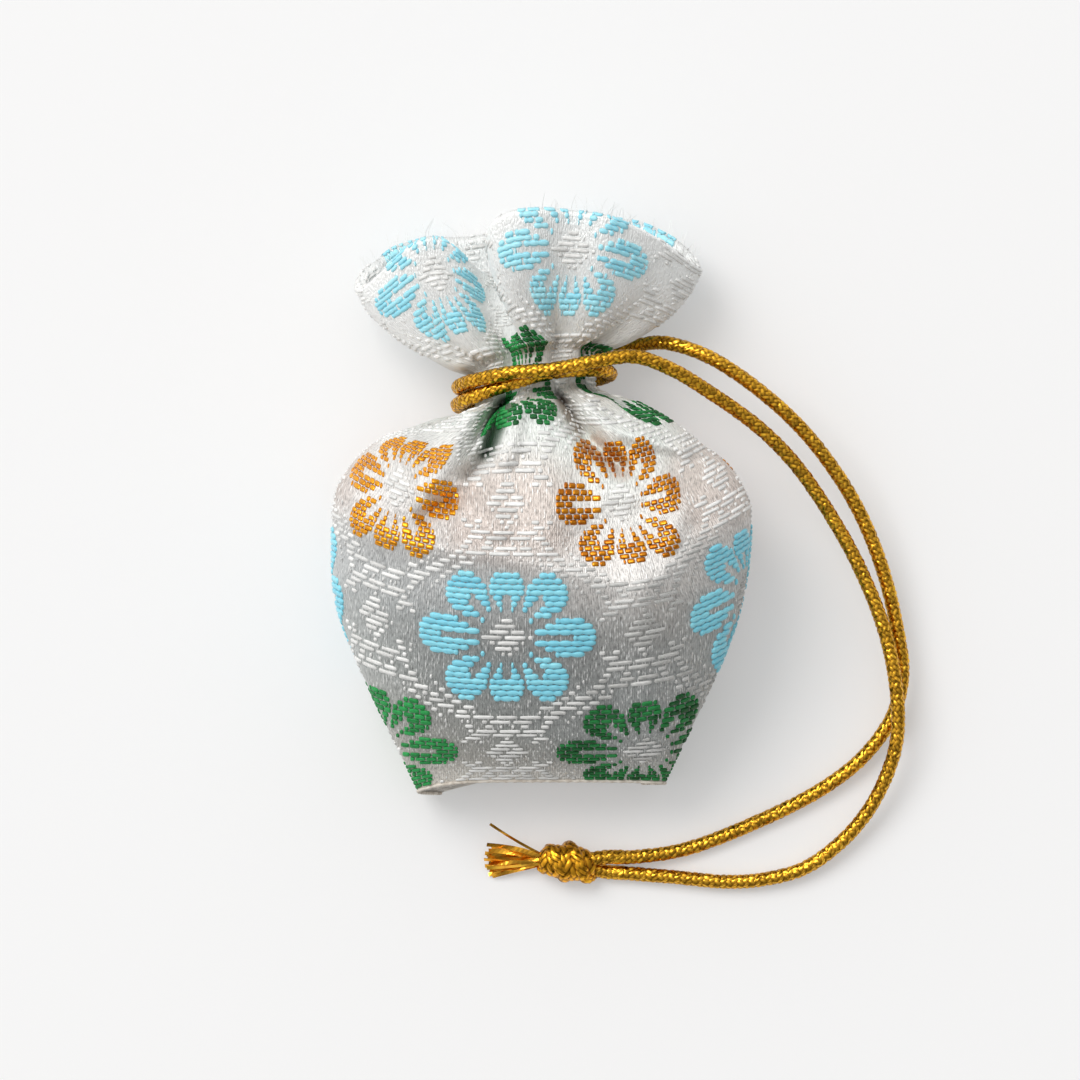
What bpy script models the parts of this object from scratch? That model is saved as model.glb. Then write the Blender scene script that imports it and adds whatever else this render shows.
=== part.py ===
"""Kinchaku drawstring pouch: a small brocade bag with a square base, stuffed full, tied round the neck
with two turns of gold braided cord whose ends meet in one knot. It lies on its back, mouth towards +Y.
Metres, +Z up, origin under the middle of the bag."""

import math

import bmesh
import bpy
import numpy as np

# The stuffed body.
BODY_WIDTH = 0.0447
BODY_DEPTH = 0.0265
BODY_LENGTH = 0.0411
BASE_WIDTH = 0.0286
BASE_DEPTH = 0.0084
BASE_DISH = 0.0012
BASE_LIFT = 0.0009
GUSSET_TUCK = 0.0034
BACK_PRESS = 0.0006

# The drawn-in neck and the groove that the cord pulls in it.
LIP_WIDTH = 0.0198
LIP_DEPTH = 0.0129
LIP_LIFT = 0.0028
CORE_WIDTH = 0.0134
CORE_DEPTH = 0.0078
CORE_LIFT = 0.0046
CORE_SHIFT = -0.0007
GROOVE_LENGTH = 0.0058
GROOVE_SHOULDER = 0.0011

# The ruffle above the cord, and the hem turned in at its mouth.
RUFFLE_LENGTH = 0.0139
RUFFLE_WIDTH = 0.0370
RUFFLE_DEPTH = 0.0192
RUFFLE_SHIFT = -0.0015
RUFFLE_LIFT = 0.0003
HEM_THICKNESS = 0.0011
THROAT_DEPTH = 0.0110

# The braided cord, its knot and its frayed ends.
CORD_DIAMETER = 0.0015
CORD_CLEARANCE = 0.0003
KNOT_LENGTH = 0.0062
KNOT_WIDTH = 0.0040
KNOT_HEIGHT = 0.0034
FRAY_LENGTH = 0.0056
FRAY_WIDTH = 0.0044
FRAY_HEIGHT = 0.0020

# The woven flowers: their size and their half-drop repeat on the flat cloth.
FLOWER_WIDTH = 0.0190
FLOWER_HEIGHT = 0.0141
REPEAT_ROUND = 0.0280
ROW_PITCH = 0.0153
FIRST_ROW = 0.0065
PATTERN_SHIFT = 0.0039
PETALS = 8

# How finely the bag is faceted.
COLUMNS = 72
FINE = 1440
BODY_RINGS = 25
GROOVE_RINGS = 9
RUFFLE_RINGS = 10
THROAT_RINGS = 6
BASE_RINGS = 4

BASE_Y = -0.0296
LIP_Y = BASE_Y + BODY_LENGTH
GROOVE_Y = LIP_Y + GROOVE_LENGTH / 2
RUFFLE_Y = LIP_Y + GROOVE_LENGTH
RIM_Y = RUFFLE_Y + RUFFLE_LENGTH

# Section by section from the base edge to the lip: share of the body's length, then shares of the way
# from the base (below the crest) or the lip (above it) to the full body, for the left and the right
# half width and for the height.
BODY_SECTIONS = (
    (0.000, 0.00, 0.00, 0.00),
    (0.060, 0.21, 0.18, 0.20),
    (0.130, 0.46, 0.43, 0.385),
    (0.250, 0.80, 0.76, 0.62),
    (0.390, 0.98, 0.93, 0.835),
    (0.510, 1.00, 1.00, 0.955),
    (0.590, 1.00, 1.00, 1.00),
)
SHOULDER_SECTIONS = (
    (0.590, 1.00, 1.00, 1.00),
    (0.650, 0.95, 0.93, 0.965),
    (0.715, 0.82, 0.80, 0.86),
    (0.800, 0.62, 0.55, 0.67),
    (0.880, 0.44, 0.37, 0.44),
    (0.940, 0.26, 0.20, 0.23),
    (1.000, 0.00, 0.00, 0.00),
)

# The weft runs higher at the sides than at the front: share of the body's length, left and right rise.
RISES = (
    (0.00, -0.0014, -0.0003),
    (0.06, 0.0001, 0.0006),
    (0.13, 0.0016, 0.0020),
    (0.25, 0.0034, 0.0038),
    (0.39, 0.0044, 0.0048),
    (0.57, 0.0050, 0.0052),
    (0.71, 0.0048, 0.0046),
    (0.84, 0.0034, 0.0030),
    (1.00, 0.0000, 0.0000),
)

# The folds drawn in by the cord: angle from the front at the neck and at the mouth in degrees, depth at
# the neck and at the mouth, how far it runs down the body, and half its width there.
FOLDS = (
    (-25, -13, 0.0042, 0.0066, 0.0125, 0.0011),
    (15, 13, 0.0034, 0.0026, 0.0050, 0.0009),
    (57, 52, 0.0030, 0.0010, 0.0070, 0.0009),
    (-58, -54, 0.0026, 0.0008, 0.0050, 0.0009),
    (-93, -96, 0.0032, 0.0022, 0.0085, 0.0010),
    (96, 97, 0.0032, 0.0020, 0.0085, 0.0010),
    (-127, -128, 0.0030, 0.0014, 0.0070, 0.0010),
    (131, 130, 0.0030, 0.0014, 0.0070, 0.0010),
    (-160, -158, 0.0030, 0.0012, 0.0080, 0.0010),
    (166, 162, 0.0030, 0.0012, 0.0080, 0.0010),
)


def smooth_step(low, high, at):
    t = np.clip((at - low) / (high - low), 0, 1)
    return t * t * (3 - 2 * t)


def mix(a, b, share):
    return a + (b - a) * share


def through(rows, column, at):
    """A smooth curve through hand-set rows, whose first number is the place, read at the places given."""
    place = np.array([row[0] for row in rows])
    value = np.array([row[column] for row in rows])
    slope = np.gradient(value, place)
    i = np.clip(np.searchsorted(place, at) - 1, 0, len(place) - 2)
    step = place[i + 1] - place[i]
    t = np.clip((at - place[i]) / step, 0, 1)
    start = (2 * t**3 - 3 * t**2 + 1) * value[i] + (t**3 - 2 * t**2 + t) * step * slope[i]
    return start + (3 * t**2 - 2 * t**3) * value[i + 1] + (t**3 - t**2) * step * slope[i + 1]


def body_shares(share):
    """Left and right width and height along the body, from 0 at its narrow end to 1 at the crest."""
    crest = BODY_SECTIONS[-1][0]
    low = [through(BODY_SECTIONS, column, share) for column in (1, 2, 3)]
    high = [through(SHOULDER_SECTIONS, column, share) for column in (1, 2, 3)]
    return [np.where(share < crest, a, b) for a, b in zip(low, high)], share < crest


def envelope(y):
    """The bag without its folds, at places y along the front: left and right half widths, the heights
    of its front and back, and how square its section is."""
    share = np.clip((y - BASE_Y) / BODY_LENGTH, 0, 1)
    (left, right, high), below = body_shares(share)
    end_width = np.where(below, BASE_WIDTH, LIP_WIDTH) / 2
    left = mix(end_width, BODY_WIDTH / 2, left)
    right = mix(end_width, BODY_WIDTH / 2, right)
    end_top = np.where(below, BASE_LIFT + BASE_DEPTH, LIP_LIFT + LIP_DEPTH)
    top = mix(end_top, BODY_DEPTH, high)
    low = mix(BASE_LIFT, -BACK_PRESS, smooth_step(0.0, 0.12, share))
    low = mix(low, LIP_LIFT, smooth_step(0.70, 1.0, share) ** 1.4)
    square = mix(3.8, 2.7, smooth_step(0.0, 0.35, share))
    square = mix(square, 2.15, smooth_step(0.6, 1.0, share))

    flare = np.clip((y - RUFFLE_Y) / RUFFLE_LENGTH, 0, 1)
    opened = mix(flare, np.sin(flare * math.pi / 2), 0.55)
    left = mix(left, RUFFLE_WIDTH / 2, opened**0.80)
    right = mix(right, RUFFLE_WIDTH / 2, opened**0.90)
    top = mix(top, RUFFLE_LIFT + RUFFLE_DEPTH, np.sin(flare * math.pi / 2) ** 0.9)
    low = mix(low, RUFFLE_LIFT, np.sin(flare * math.pi / 2))
    shift = RUFFLE_SHIFT * opened + CORE_SHIFT * smooth_step(0.75, 1.0, share) * (1 - opened)

    drawn = smooth_step(GROOVE_LENGTH / 2 + GROOVE_SHOULDER, GROOVE_LENGTH / 2 - GROOVE_SHOULDER,
                        np.abs(y - GROOVE_Y))
    left = mix(left, CORE_WIDTH / 2, drawn)
    right = mix(right, CORE_WIDTH / 2, drawn)
    top = mix(top, CORE_LIFT + CORE_DEPTH, drawn)
    low = mix(low, CORE_LIFT, drawn)
    return left, right, top, low, square, shift, drawn


def fold_depth(y, angle, around, spread):
    """How far the folds pull the cloth in, at places y along the front and angles round the ring."""
    share = np.clip((y - BASE_Y) / BODY_LENGTH, 0, 1)
    flare = np.clip((y - RUFFLE_Y) / RUFFLE_LENGTH, 0, 1)
    total = 0
    for neck_angle, mouth_angle, neck_depth, mouth_depth, reach, width in FOLDS:
        middle = np.radians(mix(neck_angle, mouth_angle, flare))
        away = (angle - middle + math.pi) % (2 * math.pi) - math.pi
        fade = 1 - smooth_step(0, reach, LIP_Y - y)
        depth = np.where(share < 1, neck_depth * fade**1.2, mix(neck_depth, mouth_depth, flare))
        wide = width * mix(1.0, 1.9, flare) * mix(1.7, 1.0, fade) + spread
        total = total + (depth * np.exp(-np.abs(away * around / wide) ** 1.6)) ** 4
    return total**0.25


def ring_places(y, angle):
    """How far along the bag each point of a ring lies, for a ring that starts at y on the front."""
    share = np.clip((y - BASE_Y) / BODY_LENGTH, 0, 1)
    side = np.abs(np.sin(angle)) ** 2.2
    rise = np.where(np.sin(angle) < 0, through(RISES, 1, share), through(RISES, 2, share)) * side
    tied = smooth_step(0.72, 0.97, share) * (1 - smooth_step(RUFFLE_Y, RIM_Y - 0.004, y))
    tilt = 0.0011 * np.sin(angle) + 0.0011 * (np.cos(angle) - 1)
    flare = np.clip((y - LIP_Y - 0.0042) / (RIM_Y - LIP_Y - 0.0042), 0, 1)
    short_lobe = smooth_step(math.radians(-9), math.radians(-20), angle)
    short_lobe = 0.0024 * short_lobe * smooth_step(math.radians(-180), math.radians(-150), angle)
    droop = mix(0.0060, 0.0056, np.sin(angle) < 0) * np.sin(angle) ** 4
    return y + rise + tied * tilt - flare**1.3 * short_lobe - flare * (1.5 - 0.5 * flare) * droop


def knocks(x, y):
    """The stuffing's corner under the right flower, with its ridge, and the dent beside it."""
    along = (x - 0.0105) * 0.55 + (y + 0.0102) * 0.83
    across = (x - 0.0105) * 0.83 - (y + 0.0102) * 0.55
    ridge = 0.0011 * np.exp(-((along - 0.002) / 0.0050) ** 2 - (across / 0.0024) ** 2)
    corner = 0.0006 * np.exp(-(along / 0.0030) ** 2 - (across / 0.0030) ** 2)
    dent = 0.0005 * np.exp(-((x - 0.0045) / 0.0045) ** 2 - ((y + 0.0035) / 0.0040) ** 2)
    shoulder = 0.0009 * np.exp(-((x + 0.0150) / 0.0050) ** 2 - ((y - 0.0020) / 0.0050) ** 2)
    return ridge + corner - dent + shoulder


def bag_rings(places, columns, inset=0.0):
    """Rings of cloth that start at the given places along the front. Each is spaced evenly along the
    cloth, so that folds take up cloth. An inset ring lies that far inside, for the turned-in hem."""
    y = np.asarray(places)[:, None]
    angle = np.linspace(-math.pi, math.pi, FINE, endpoint=False)[None, :]
    left, right, top, low, square, shift, drawn = envelope(y)
    sine = np.sin(angle)
    cosine = np.cos(angle)
    half = np.where(sine < 0, left, right)
    x = shift + half * np.sign(sine) * np.abs(sine) ** (2 / square)
    z = (low + top) / 2 + (top - low) / 2 * np.sign(cosine) * np.abs(cosine) ** (2 / square)
    share = np.clip((y - BASE_Y) / BODY_LENGTH, 0, 1)
    along = ring_places(y, angle)
    tangent_x = np.roll(x, -1, 1) - np.roll(x, 1, 1)
    tangent_z = np.roll(z, -1, 1) - np.roll(z, 1, 1)
    length = np.hypot(tangent_x, tangent_z)
    normal_x = -tangent_z / length
    normal_z = tangent_x / length
    around = (left + right + top - low) / 4
    gusset = GUSSET_TUCK * (1 - smooth_step(0.0, 0.42, share)) ** 1.3 * np.exp(-((z - (top + low) / 2)
                            / (0.17 * (top - low) + 0.0006)) ** 2) * (np.abs(sine) > 0.5)
    squeezed = mix(1.0, 0.35, drawn)
    sink = fold_depth(y, angle, around, inset) * squeezed + gusset + inset
    x = x - normal_x * sink
    z = z - normal_z * sink + knocks(x, along) * (cosine > 0)
    z = np.maximum(z, 0)
    step = np.hypot(np.hypot(np.diff(x, append=x[:, :1]), np.diff(z, append=z[:, :1])),
                    np.diff(along, append=along[:, :1]))
    rings = np.empty((len(places), columns, 3))
    for ring, (px, py, pz, gap) in enumerate(zip(x, along, z, step)):
        walked = np.concatenate([[0], np.cumsum(gap)])
        front = walked[FINE // 2]
        wanted = (front + (np.arange(columns) / columns - 0.5) * walked[-1]) % walked[-1]
        for axis, values in enumerate((px, py, pz)):
            rings[ring, :, axis] = np.interp(wanted, walked, np.append(values, values[0]))
    return rings


def flower_at(around, along):
    """Which flower, if any, covers a place on the cloth: 0 ground, 1 green, 2 blue, 3 gold, 4 its heart."""
    row = round((along - FIRST_ROW) / ROW_PITCH)
    offset = REPEAT_ROUND / 2 if row % 2 == 0 else 0
    u = (around - offset + REPEAT_ROUND / 2) % REPEAT_ROUND - REPEAT_ROUND / 2
    u = u / (FLOWER_WIDTH / 2)
    v = (along - FIRST_ROW - row * ROW_PITCH) / (FLOWER_HEIGHT / 2)
    angle = math.atan2(v, u)
    reach = math.hypot(u, v)
    petal = 0.86 + 0.14 * math.cos(PETALS * angle)
    if reach > petal:
        return 0
    return 4 if reach < 0.30 else (1, 2, 3)[row % 3]


def clear_scene():
    for obj in list(bpy.data.objects):
        bpy.data.objects.remove(obj)


def finish(name, colour, roughness, metallic=0.0):
    material = bpy.data.materials.new(name)
    material.use_nodes = True
    shader = material.node_tree.nodes["Principled BSDF"]
    shader.inputs["Base Color"].default_value = (*colour, 1)
    shader.inputs["Roughness"].default_value = roughness
    shader.inputs["Metallic"].default_value = metallic
    return material


def new_object(name, mesh, materials, collection):
    for material in materials:
        mesh.materials.append(material)
    obj = bpy.data.objects.new(name, mesh)
    collection.objects.link(obj)
    return obj


def loft(bm, rings):
    """Joins rings of points into one skin, and gives its rings of vertices."""
    rows = [[bm.verts.new(point) for point in ring] for ring in rings]
    for lower, upper in zip(rows, rows[1:]):
        for i in range(len(lower)):
            j = (i + 1) % len(lower)
            bm.faces.new((lower[i], lower[j], upper[j], upper[i]))
    return rows


def close(bm, row, point, first):
    """Closes the first or the last ring of a loft with a fan to one point."""
    tip = bm.verts.new(point)
    for i in range(len(row)):
        j = (i + 1) % len(row)
        bm.faces.new((row[j], row[i], tip) if first else (row[i], row[j], tip))


def base_rings(edge):
    """The square base inside its edge ring, dished towards the stuffing."""
    centre = edge.mean(axis=0)
    rings = []
    for step in range(1, BASE_RINGS + 1):
        share = 1 - step / (BASE_RINGS + 1)
        ring = centre + (edge - centre) * share
        ring[:, 1] = mix(centre[1] + BASE_DISH, edge[:, 1], share**1.5)
        rings.append(ring)
    return rings, centre + np.array([0, BASE_DISH, 0])


def make_pouch(collection):
    body = np.linspace(BASE_Y, LIP_Y - GROOVE_SHOULDER, BODY_RINGS)
    groove = np.linspace(LIP_Y - GROOVE_SHOULDER, RUFFLE_Y + GROOVE_SHOULDER, GROOVE_RINGS + 1)[1:]
    ruffle = np.linspace(RUFFLE_Y + GROOVE_SHOULDER, RIM_Y, RUFFLE_RINGS + 1)[1:]
    throat = np.linspace(RIM_Y - HEM_THICKNESS / 2, RIM_Y - THROAT_DEPTH, THROAT_RINGS)
    outer = bag_rings(np.concatenate([body, groove, ruffle]), COLUMNS)
    inner = bag_rings(throat, COLUMNS, HEM_THICKNESS)
    hem = (outer[-1] + inner[0]) / 2 + np.array([0, HEM_THICKNESS * 0.45, 0])
    floor_ring = (inner[-1] + inner[-1].mean(axis=0)) / 2
    caps, middle = base_rings(outer[0])

    bm = bmesh.new()
    rows = loft(bm, [*reversed(caps), *outer, hem, *inner, floor_ring])
    close(bm, rows[0], middle, True)
    close(bm, rows[-1], floor_ring.mean(axis=0), False)
    bm.normal_update()

    front = outer[:, COLUMNS // 2]
    cloth = np.concatenate([[0], np.cumsum(np.linalg.norm(np.diff(front, axis=0), axis=1))])
    first = len(caps)
    bm.verts.index_update()
    for face in bm.faces:
        index = [vert.index for vert in face.verts]
        ring = sum(i // COLUMNS for i in index) / len(index) - first
        column = index[0] % COLUMNS + 0.5
        if 0 <= ring < len(cloth) - 1 and len(index) == 4:
            along = np.interp(ring, np.arange(len(cloth)), cloth)
            around = (column / COLUMNS - 0.5) * 4 * REPEAT_ROUND + PATTERN_SHIFT
            face.material_index = flower_at(around, along)
        face.smooth = True
    mesh = bpy.data.meshes.new("pouch")
    bm.to_mesh(mesh)
    bm.free()
    silver = finish("brocade_silver", (0.74, 0.75, 0.74), 0.55)
    green = finish("brocade_green", (0.02, 0.17, 0.05), 0.6)
    blue = finish("brocade_blue", (0.20, 0.58, 0.76), 0.6)
    gold = finish("brocade_gold", (0.70, 0.30, 0.04), 0.5)
    white = finish("brocade_white", (0.85, 0.85, 0.83), 0.6)
    return new_object("pouch", mesh, (silver, green, blue, gold, white), collection)


# The cord's route, in millimetres: from the knot along the tail that lies in front, twice round the
# neck from right to left, and back along the tail that comes out behind the ruffle.
ROUTE_TO_NECK = (
    (6.8, -39.6, 0.85), (9.6, -39.8, 0.85), (14.5, -40.2, 0.9), (20.1, -40.7, 0.9), (24.1, -40.4, 1.0),
    (28.4, -39.2, 1.2), (32.5, -36.2, 1.7), (35.4, -32.7, 2.4), (37.4, -28.6, 3.3), (38.3, -25.0, 4.0),
    (38.2, -20.0, 4.7), (37.0, -13.9, 5.1), (34.4, -7.2, 5.6), (31.0, -1.0, 6.3), (27.2, 4.4, 7.4),
    (23.4, 8.2, 8.8), (18.2, 11.9, 11.0), (13.6, 14.6, 12.9), (9.8, 15.8, 14.2),
)
ROUTE_ROUND_NECK = (
    (5.4, 15.2, 15.3), (1.0, 14.4, 15.6), (-3.6, 14.0, 15.0), (-7.4, 13.2, 12.4), (-8.9, 12.6, 8.6),
    (-7.4, 12.2, 4.8), (-4.0, 12.1, 3.5), (-0.6, 12.2, 3.3), (4.8, 13.2, 4.2), (7.4, 14.0, 8.2),
    (5.8, 14.4, 12.0), (1.0, 14.1, 13.6), (-4.4, 12.55, 13.25), (-7.6, 11.4, 11.5), (-9.0, 10.7, 8.2),
    (-7.9, 10.4, 4.4), (-5.7, 10.8, 2.1), (-3.4, 11.7, 1.4), (-0.2, 13.0, 1.2), (4.6, 14.9, 1.6),
    (8.3, 16.4, 3.0),
)
ROUTE_FROM_NECK = (
    (10.7, 17.2, 4.8), (13.0, 17.4, 6.9), (15.6, 16.8, 8.3), (18.8, 15.4, 8.7), (24.1, 11.7, 7.9),
    (28.8, 7.2, 6.7), (33.4, 0.7, 5.3), (36.4, -6.0, 4.4), (38.3, -13.3, 3.5), (38.9, -18.5, 2.8),
    (37.8, -22.9, 2.1), (34.7, -27.2, 1.6), (30.2, -30.7, 1.2), (23.1, -34.3, 0.9), (15.4, -37.2, 0.9),
    (9.9, -38.0, 1.2), (6.8, -38.0, 1.8),
)
ROUTE_POINTS = 80


def smooth_route(points, count):
    """Points along a smooth curve through a route, closer together where it turns."""
    route = np.array(points) / 1000
    gaps = np.linalg.norm(np.diff(route, axis=0), axis=1) ** 0.5
    place = np.concatenate([[0], np.cumsum(gaps)])
    rows = [(where, *point) for where, point in zip(place, route)]
    at = np.linspace(0, place[-1], count)
    return np.column_stack([through(rows, column, at) for column in (1, 2, 3)])


def make_cord(collection):
    points = smooth_route(ROUTE_TO_NECK + ROUTE_ROUND_NECK + ROUTE_FROM_NECK, ROUTE_POINTS)
    curve = bpy.data.curves.new("drawstring", "CURVE")
    curve.dimensions = "3D"
    curve.bevel_depth = CORD_DIAMETER / 2
    curve.bevel_resolution = 2
    curve.use_fill_caps = True
    spline = curve.splines.new("POLY")
    spline.points.add(len(points) - 1)
    for target, point in zip(spline.points, points):
        target.co = (*point, 1)
    return new_object("drawstring", curve, (finish("gold_braid", (0.75, 0.50, 0.08), 0.3, 1.0),), collection)


def make_knot(collection):
    """The overhand knot of both ends, as one lump with the ridges of its turns."""
    start = ROUTE_TO_NECK[0]
    end = ROUTE_FROM_NECK[-1]
    centre_x = min(start[0], end[0]) / 1000 - CORD_CLEARANCE - KNOT_LENGTH / 2 - 0.0002
    centre = np.array([centre_x, (start[1] + end[1]) / 2000 + 0.0002, KNOT_HEIGHT / 2])
    bm = bmesh.new()
    bmesh.ops.create_uvsphere(bm, u_segments=20, v_segments=14, radius=1)
    for vert in bm.verts:
        x, y, z = vert.co
        turns = 1 + 0.07 * math.cos(9 * x + 2.2 * math.atan2(z, y))
        vert.co = (
            centre[0] + x * KNOT_LENGTH / 2,
            centre[1] + y * turns * KNOT_WIDTH / 2,
            max(centre[2] + z * turns * KNOT_HEIGHT / 2, 0),
        )
    for face in bm.faces:
        face.smooth = True
    mesh = bpy.data.meshes.new("end_knot")
    bm.to_mesh(mesh)
    bm.free()
    braid = finish("gold_knot", (0.70, 0.45, 0.07), 0.35, 1.0)
    return new_object("end_knot", mesh, (braid,), collection), centre


def make_fray(collection, knot_centre):
    """The cut ends of the cord, unpicked into flat gold strips that fan out from the knot."""
    root = knot_centre + np.array([-KNOT_LENGTH / 2 - CORD_CLEARANCE, 0, 0])
    sides = 24
    rings = []
    for share in (0.0, 0.15, 0.45, 0.75, 1.0):
        width = mix(CORD_DIAMETER * 0.8, FRAY_WIDTH / 2, share**1.1)
        height = mix(CORD_DIAMETER * 0.6, FRAY_HEIGHT / 2, share)
        ring = []
        for i in range(sides):
            angle = 2 * math.pi * i / sides
            groove = 1 - 0.16 * share * (i % 2)
            ring.append((
                root[0] - FRAY_LENGTH * share * (1 - 0.10 * share * (i % 2)),
                root[1] + width * groove * math.cos(angle),
                max(mix(root[2], FRAY_HEIGHT / 2 + 0.0002, share) + height * groove * math.sin(angle), 0),
            ))
        rings.append(ring)
    bm = bmesh.new()
    rows = loft(bm, rings)
    close(bm, rows[0], tuple(np.mean(rings[0], axis=0)), True)
    close(bm, rows[-1], tuple(np.mean(rings[-1], axis=0) + np.array([FRAY_LENGTH * 0.12, 0, 0])), False)
    bmesh.ops.recalc_face_normals(bm, faces=bm.faces)
    mesh = bpy.data.meshes.new("frayed_ends")
    bm.to_mesh(mesh)
    bm.free()
    return new_object("frayed_ends", mesh, (finish("gold_strip", (0.80, 0.55, 0.10), 0.25, 1.0),), collection)


def main():
    clear_scene()
    collection = bpy.data.collections.new("kinchaku_pouch")
    bpy.context.scene.collection.children.link(collection)
    make_pouch(collection)
    make_cord(collection)
    _, knot_centre = make_knot(collection)
    make_fray(collection, knot_centre)


main()
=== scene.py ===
import math

import bpy
import numpy as np
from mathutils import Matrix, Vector


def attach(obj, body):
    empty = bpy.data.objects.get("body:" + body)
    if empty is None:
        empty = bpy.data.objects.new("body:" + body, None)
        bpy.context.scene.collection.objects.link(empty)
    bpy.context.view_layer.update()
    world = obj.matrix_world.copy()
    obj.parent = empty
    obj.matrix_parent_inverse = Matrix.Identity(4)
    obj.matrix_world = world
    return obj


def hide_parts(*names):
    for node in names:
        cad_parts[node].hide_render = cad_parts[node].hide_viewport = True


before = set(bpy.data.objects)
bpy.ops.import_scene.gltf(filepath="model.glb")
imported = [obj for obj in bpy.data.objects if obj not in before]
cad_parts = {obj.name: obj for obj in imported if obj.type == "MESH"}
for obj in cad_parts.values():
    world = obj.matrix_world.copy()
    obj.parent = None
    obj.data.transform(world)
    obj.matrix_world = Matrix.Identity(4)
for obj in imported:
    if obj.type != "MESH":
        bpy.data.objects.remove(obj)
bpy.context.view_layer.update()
scene = bpy.context.scene
scene.view_settings.view_transform = "Standard"

# The camera looks straight down from well above, as over a copy stand, and sees 115.6 mm across at
# the height of the cord round the neck.
VIEW_WIDTH = 0.11556
LENS_HEIGHT = 1.25
lens = bpy.data.cameras.new("overhead")
lens.sensor_width = 36
lens.lens = 36 * LENS_HEIGHT / VIEW_WIDTH
lens.clip_end = 10
camera = bpy.data.objects.new("overhead", lens)
camera.location = (-0.00016, -0.0038, LENS_HEIGHT + 0.012)
scene.collection.objects.link(camera)
scene.camera = camera

# The table is a sheet of plain white paper, and one large soft lamp stands at the upper left of it.
# The room gives an even pale light that is weaker straight overhead, where the camera hangs.
paper_mesh = bpy.data.meshes.new("paper")
paper_mesh.from_pydata([(-0.9, -0.9, 0), (0.9, -0.9, 0), (0.9, 0.9, 0), (-0.9, 0.9, 0)], [], [(0, 1, 2, 3)])
paper = bpy.data.objects.new("paper", paper_mesh)
scene.collection.objects.link(paper)
paper_stock = bpy.data.materials.new("white_paper")
paper_stock.use_nodes = True
paper_shader = paper_stock.node_tree.nodes["Principled BSDF"]
paper_shader.inputs["Base Color"].default_value = (0.93, 0.93, 0.93, 1)
paper_shader.inputs["Roughness"].default_value = 0.9
paper_shader.inputs["Specular IOR Level"].default_value = 0.15
# Seen by the camera the paper is partly painted glow: an even self-lit share that lightens its shadows.
paper_painted_glow = paper_stock.node_tree.nodes.new("ShaderNodeEmission")
paper_painted_glow.inputs["Color"].default_value = (0.88, 0.88, 0.88, 1)
paper_mix = paper_stock.node_tree.nodes.new("ShaderNodeMixShader")
paper_ray = paper_stock.node_tree.nodes.new("ShaderNodeLightPath")
painted_glow_share = paper_stock.node_tree.nodes.new("ShaderNodeMath")
painted_glow_share.operation = "MULTIPLY"
painted_glow_share.inputs[1].default_value = 0.32
paper_stock.node_tree.links.new(paper_ray.outputs["Is Camera Ray"], painted_glow_share.inputs[0])
paper_stock.node_tree.links.new(painted_glow_share.outputs["Value"], paper_mix.inputs["Fac"])
paper_stock.node_tree.links.new(paper_shader.outputs["BSDF"], paper_mix.inputs[1])
paper_stock.node_tree.links.new(paper_painted_glow.outputs["Emission"], paper_mix.inputs[2])
paper_stock.node_tree.links.new(paper_mix.outputs["Shader"],
                                paper_stock.node_tree.nodes["Material Output"].inputs["Surface"])
paper_mesh.materials.append(paper_stock)

lamp_data = bpy.data.lights.new("soft_lamp", "AREA")
lamp_data.shape = "DISK"
lamp_data.size = 1.5
lamp_data.energy = 27.5
lamp_data.color = (1.0, 0.985, 0.97)
lamp = bpy.data.objects.new("soft_lamp", lamp_data)
lamp.location = (-1.00, 1.12, 1.86)
lamp.rotation_euler = (Vector((0, 0, 0)) - lamp.location).to_track_quat("-Z", "Y").to_euler()
scene.collection.objects.link(lamp)


def fill_ramp(node, stops):
    """Give a colour ramp its stops, each a place from 0 to 1 and a colour."""
    while len(node.color_ramp.elements) < len(stops):
        node.color_ramp.elements.new(0.5)
    for stop, (place, colour) in zip(node.color_ramp.elements, stops):
        stop.position = place
        stop.color = colour


room = bpy.data.worlds.new("room")
scene.world = room
room.use_nodes = True
room_nodes = room.node_tree.nodes
room_links = room.node_tree.links
sky = room_nodes["Background"]
sky.inputs["Strength"].default_value = 1.0
looking = room_nodes.new("ShaderNodeTexCoord")
toward_lamp = room_nodes.new("ShaderNodeVectorMath")
toward_lamp.operation = "DOT_PRODUCT"
toward_lamp.inputs[1].default_value = (-0.45, 0.66, 0.60)
walls = room_nodes.new("ShaderNodeMapRange")
walls.inputs["From Min"].default_value = -1.0
walls.inputs["From Max"].default_value = 1.0
room_tone = room_nodes.new("ShaderNodeValToRGB")
room_stops = ((0.10, 0.25), (0.38, 0.28), (0.55, 0.38), (0.75, 0.66), (0.95, 1.12))
fill_ramp(room_tone, [(at, (level, level, level, 1)) for at, level in room_stops])
room_links.new(looking.outputs["Generated"], toward_lamp.inputs[0])
room_links.new(toward_lamp.outputs["Value"], walls.inputs["Value"])
room_links.new(walls.outputs["Result"], room_tone.inputs["Fac"])
room_links.new(room_tone.outputs["Color"], sky.inputs["Color"])

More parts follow.
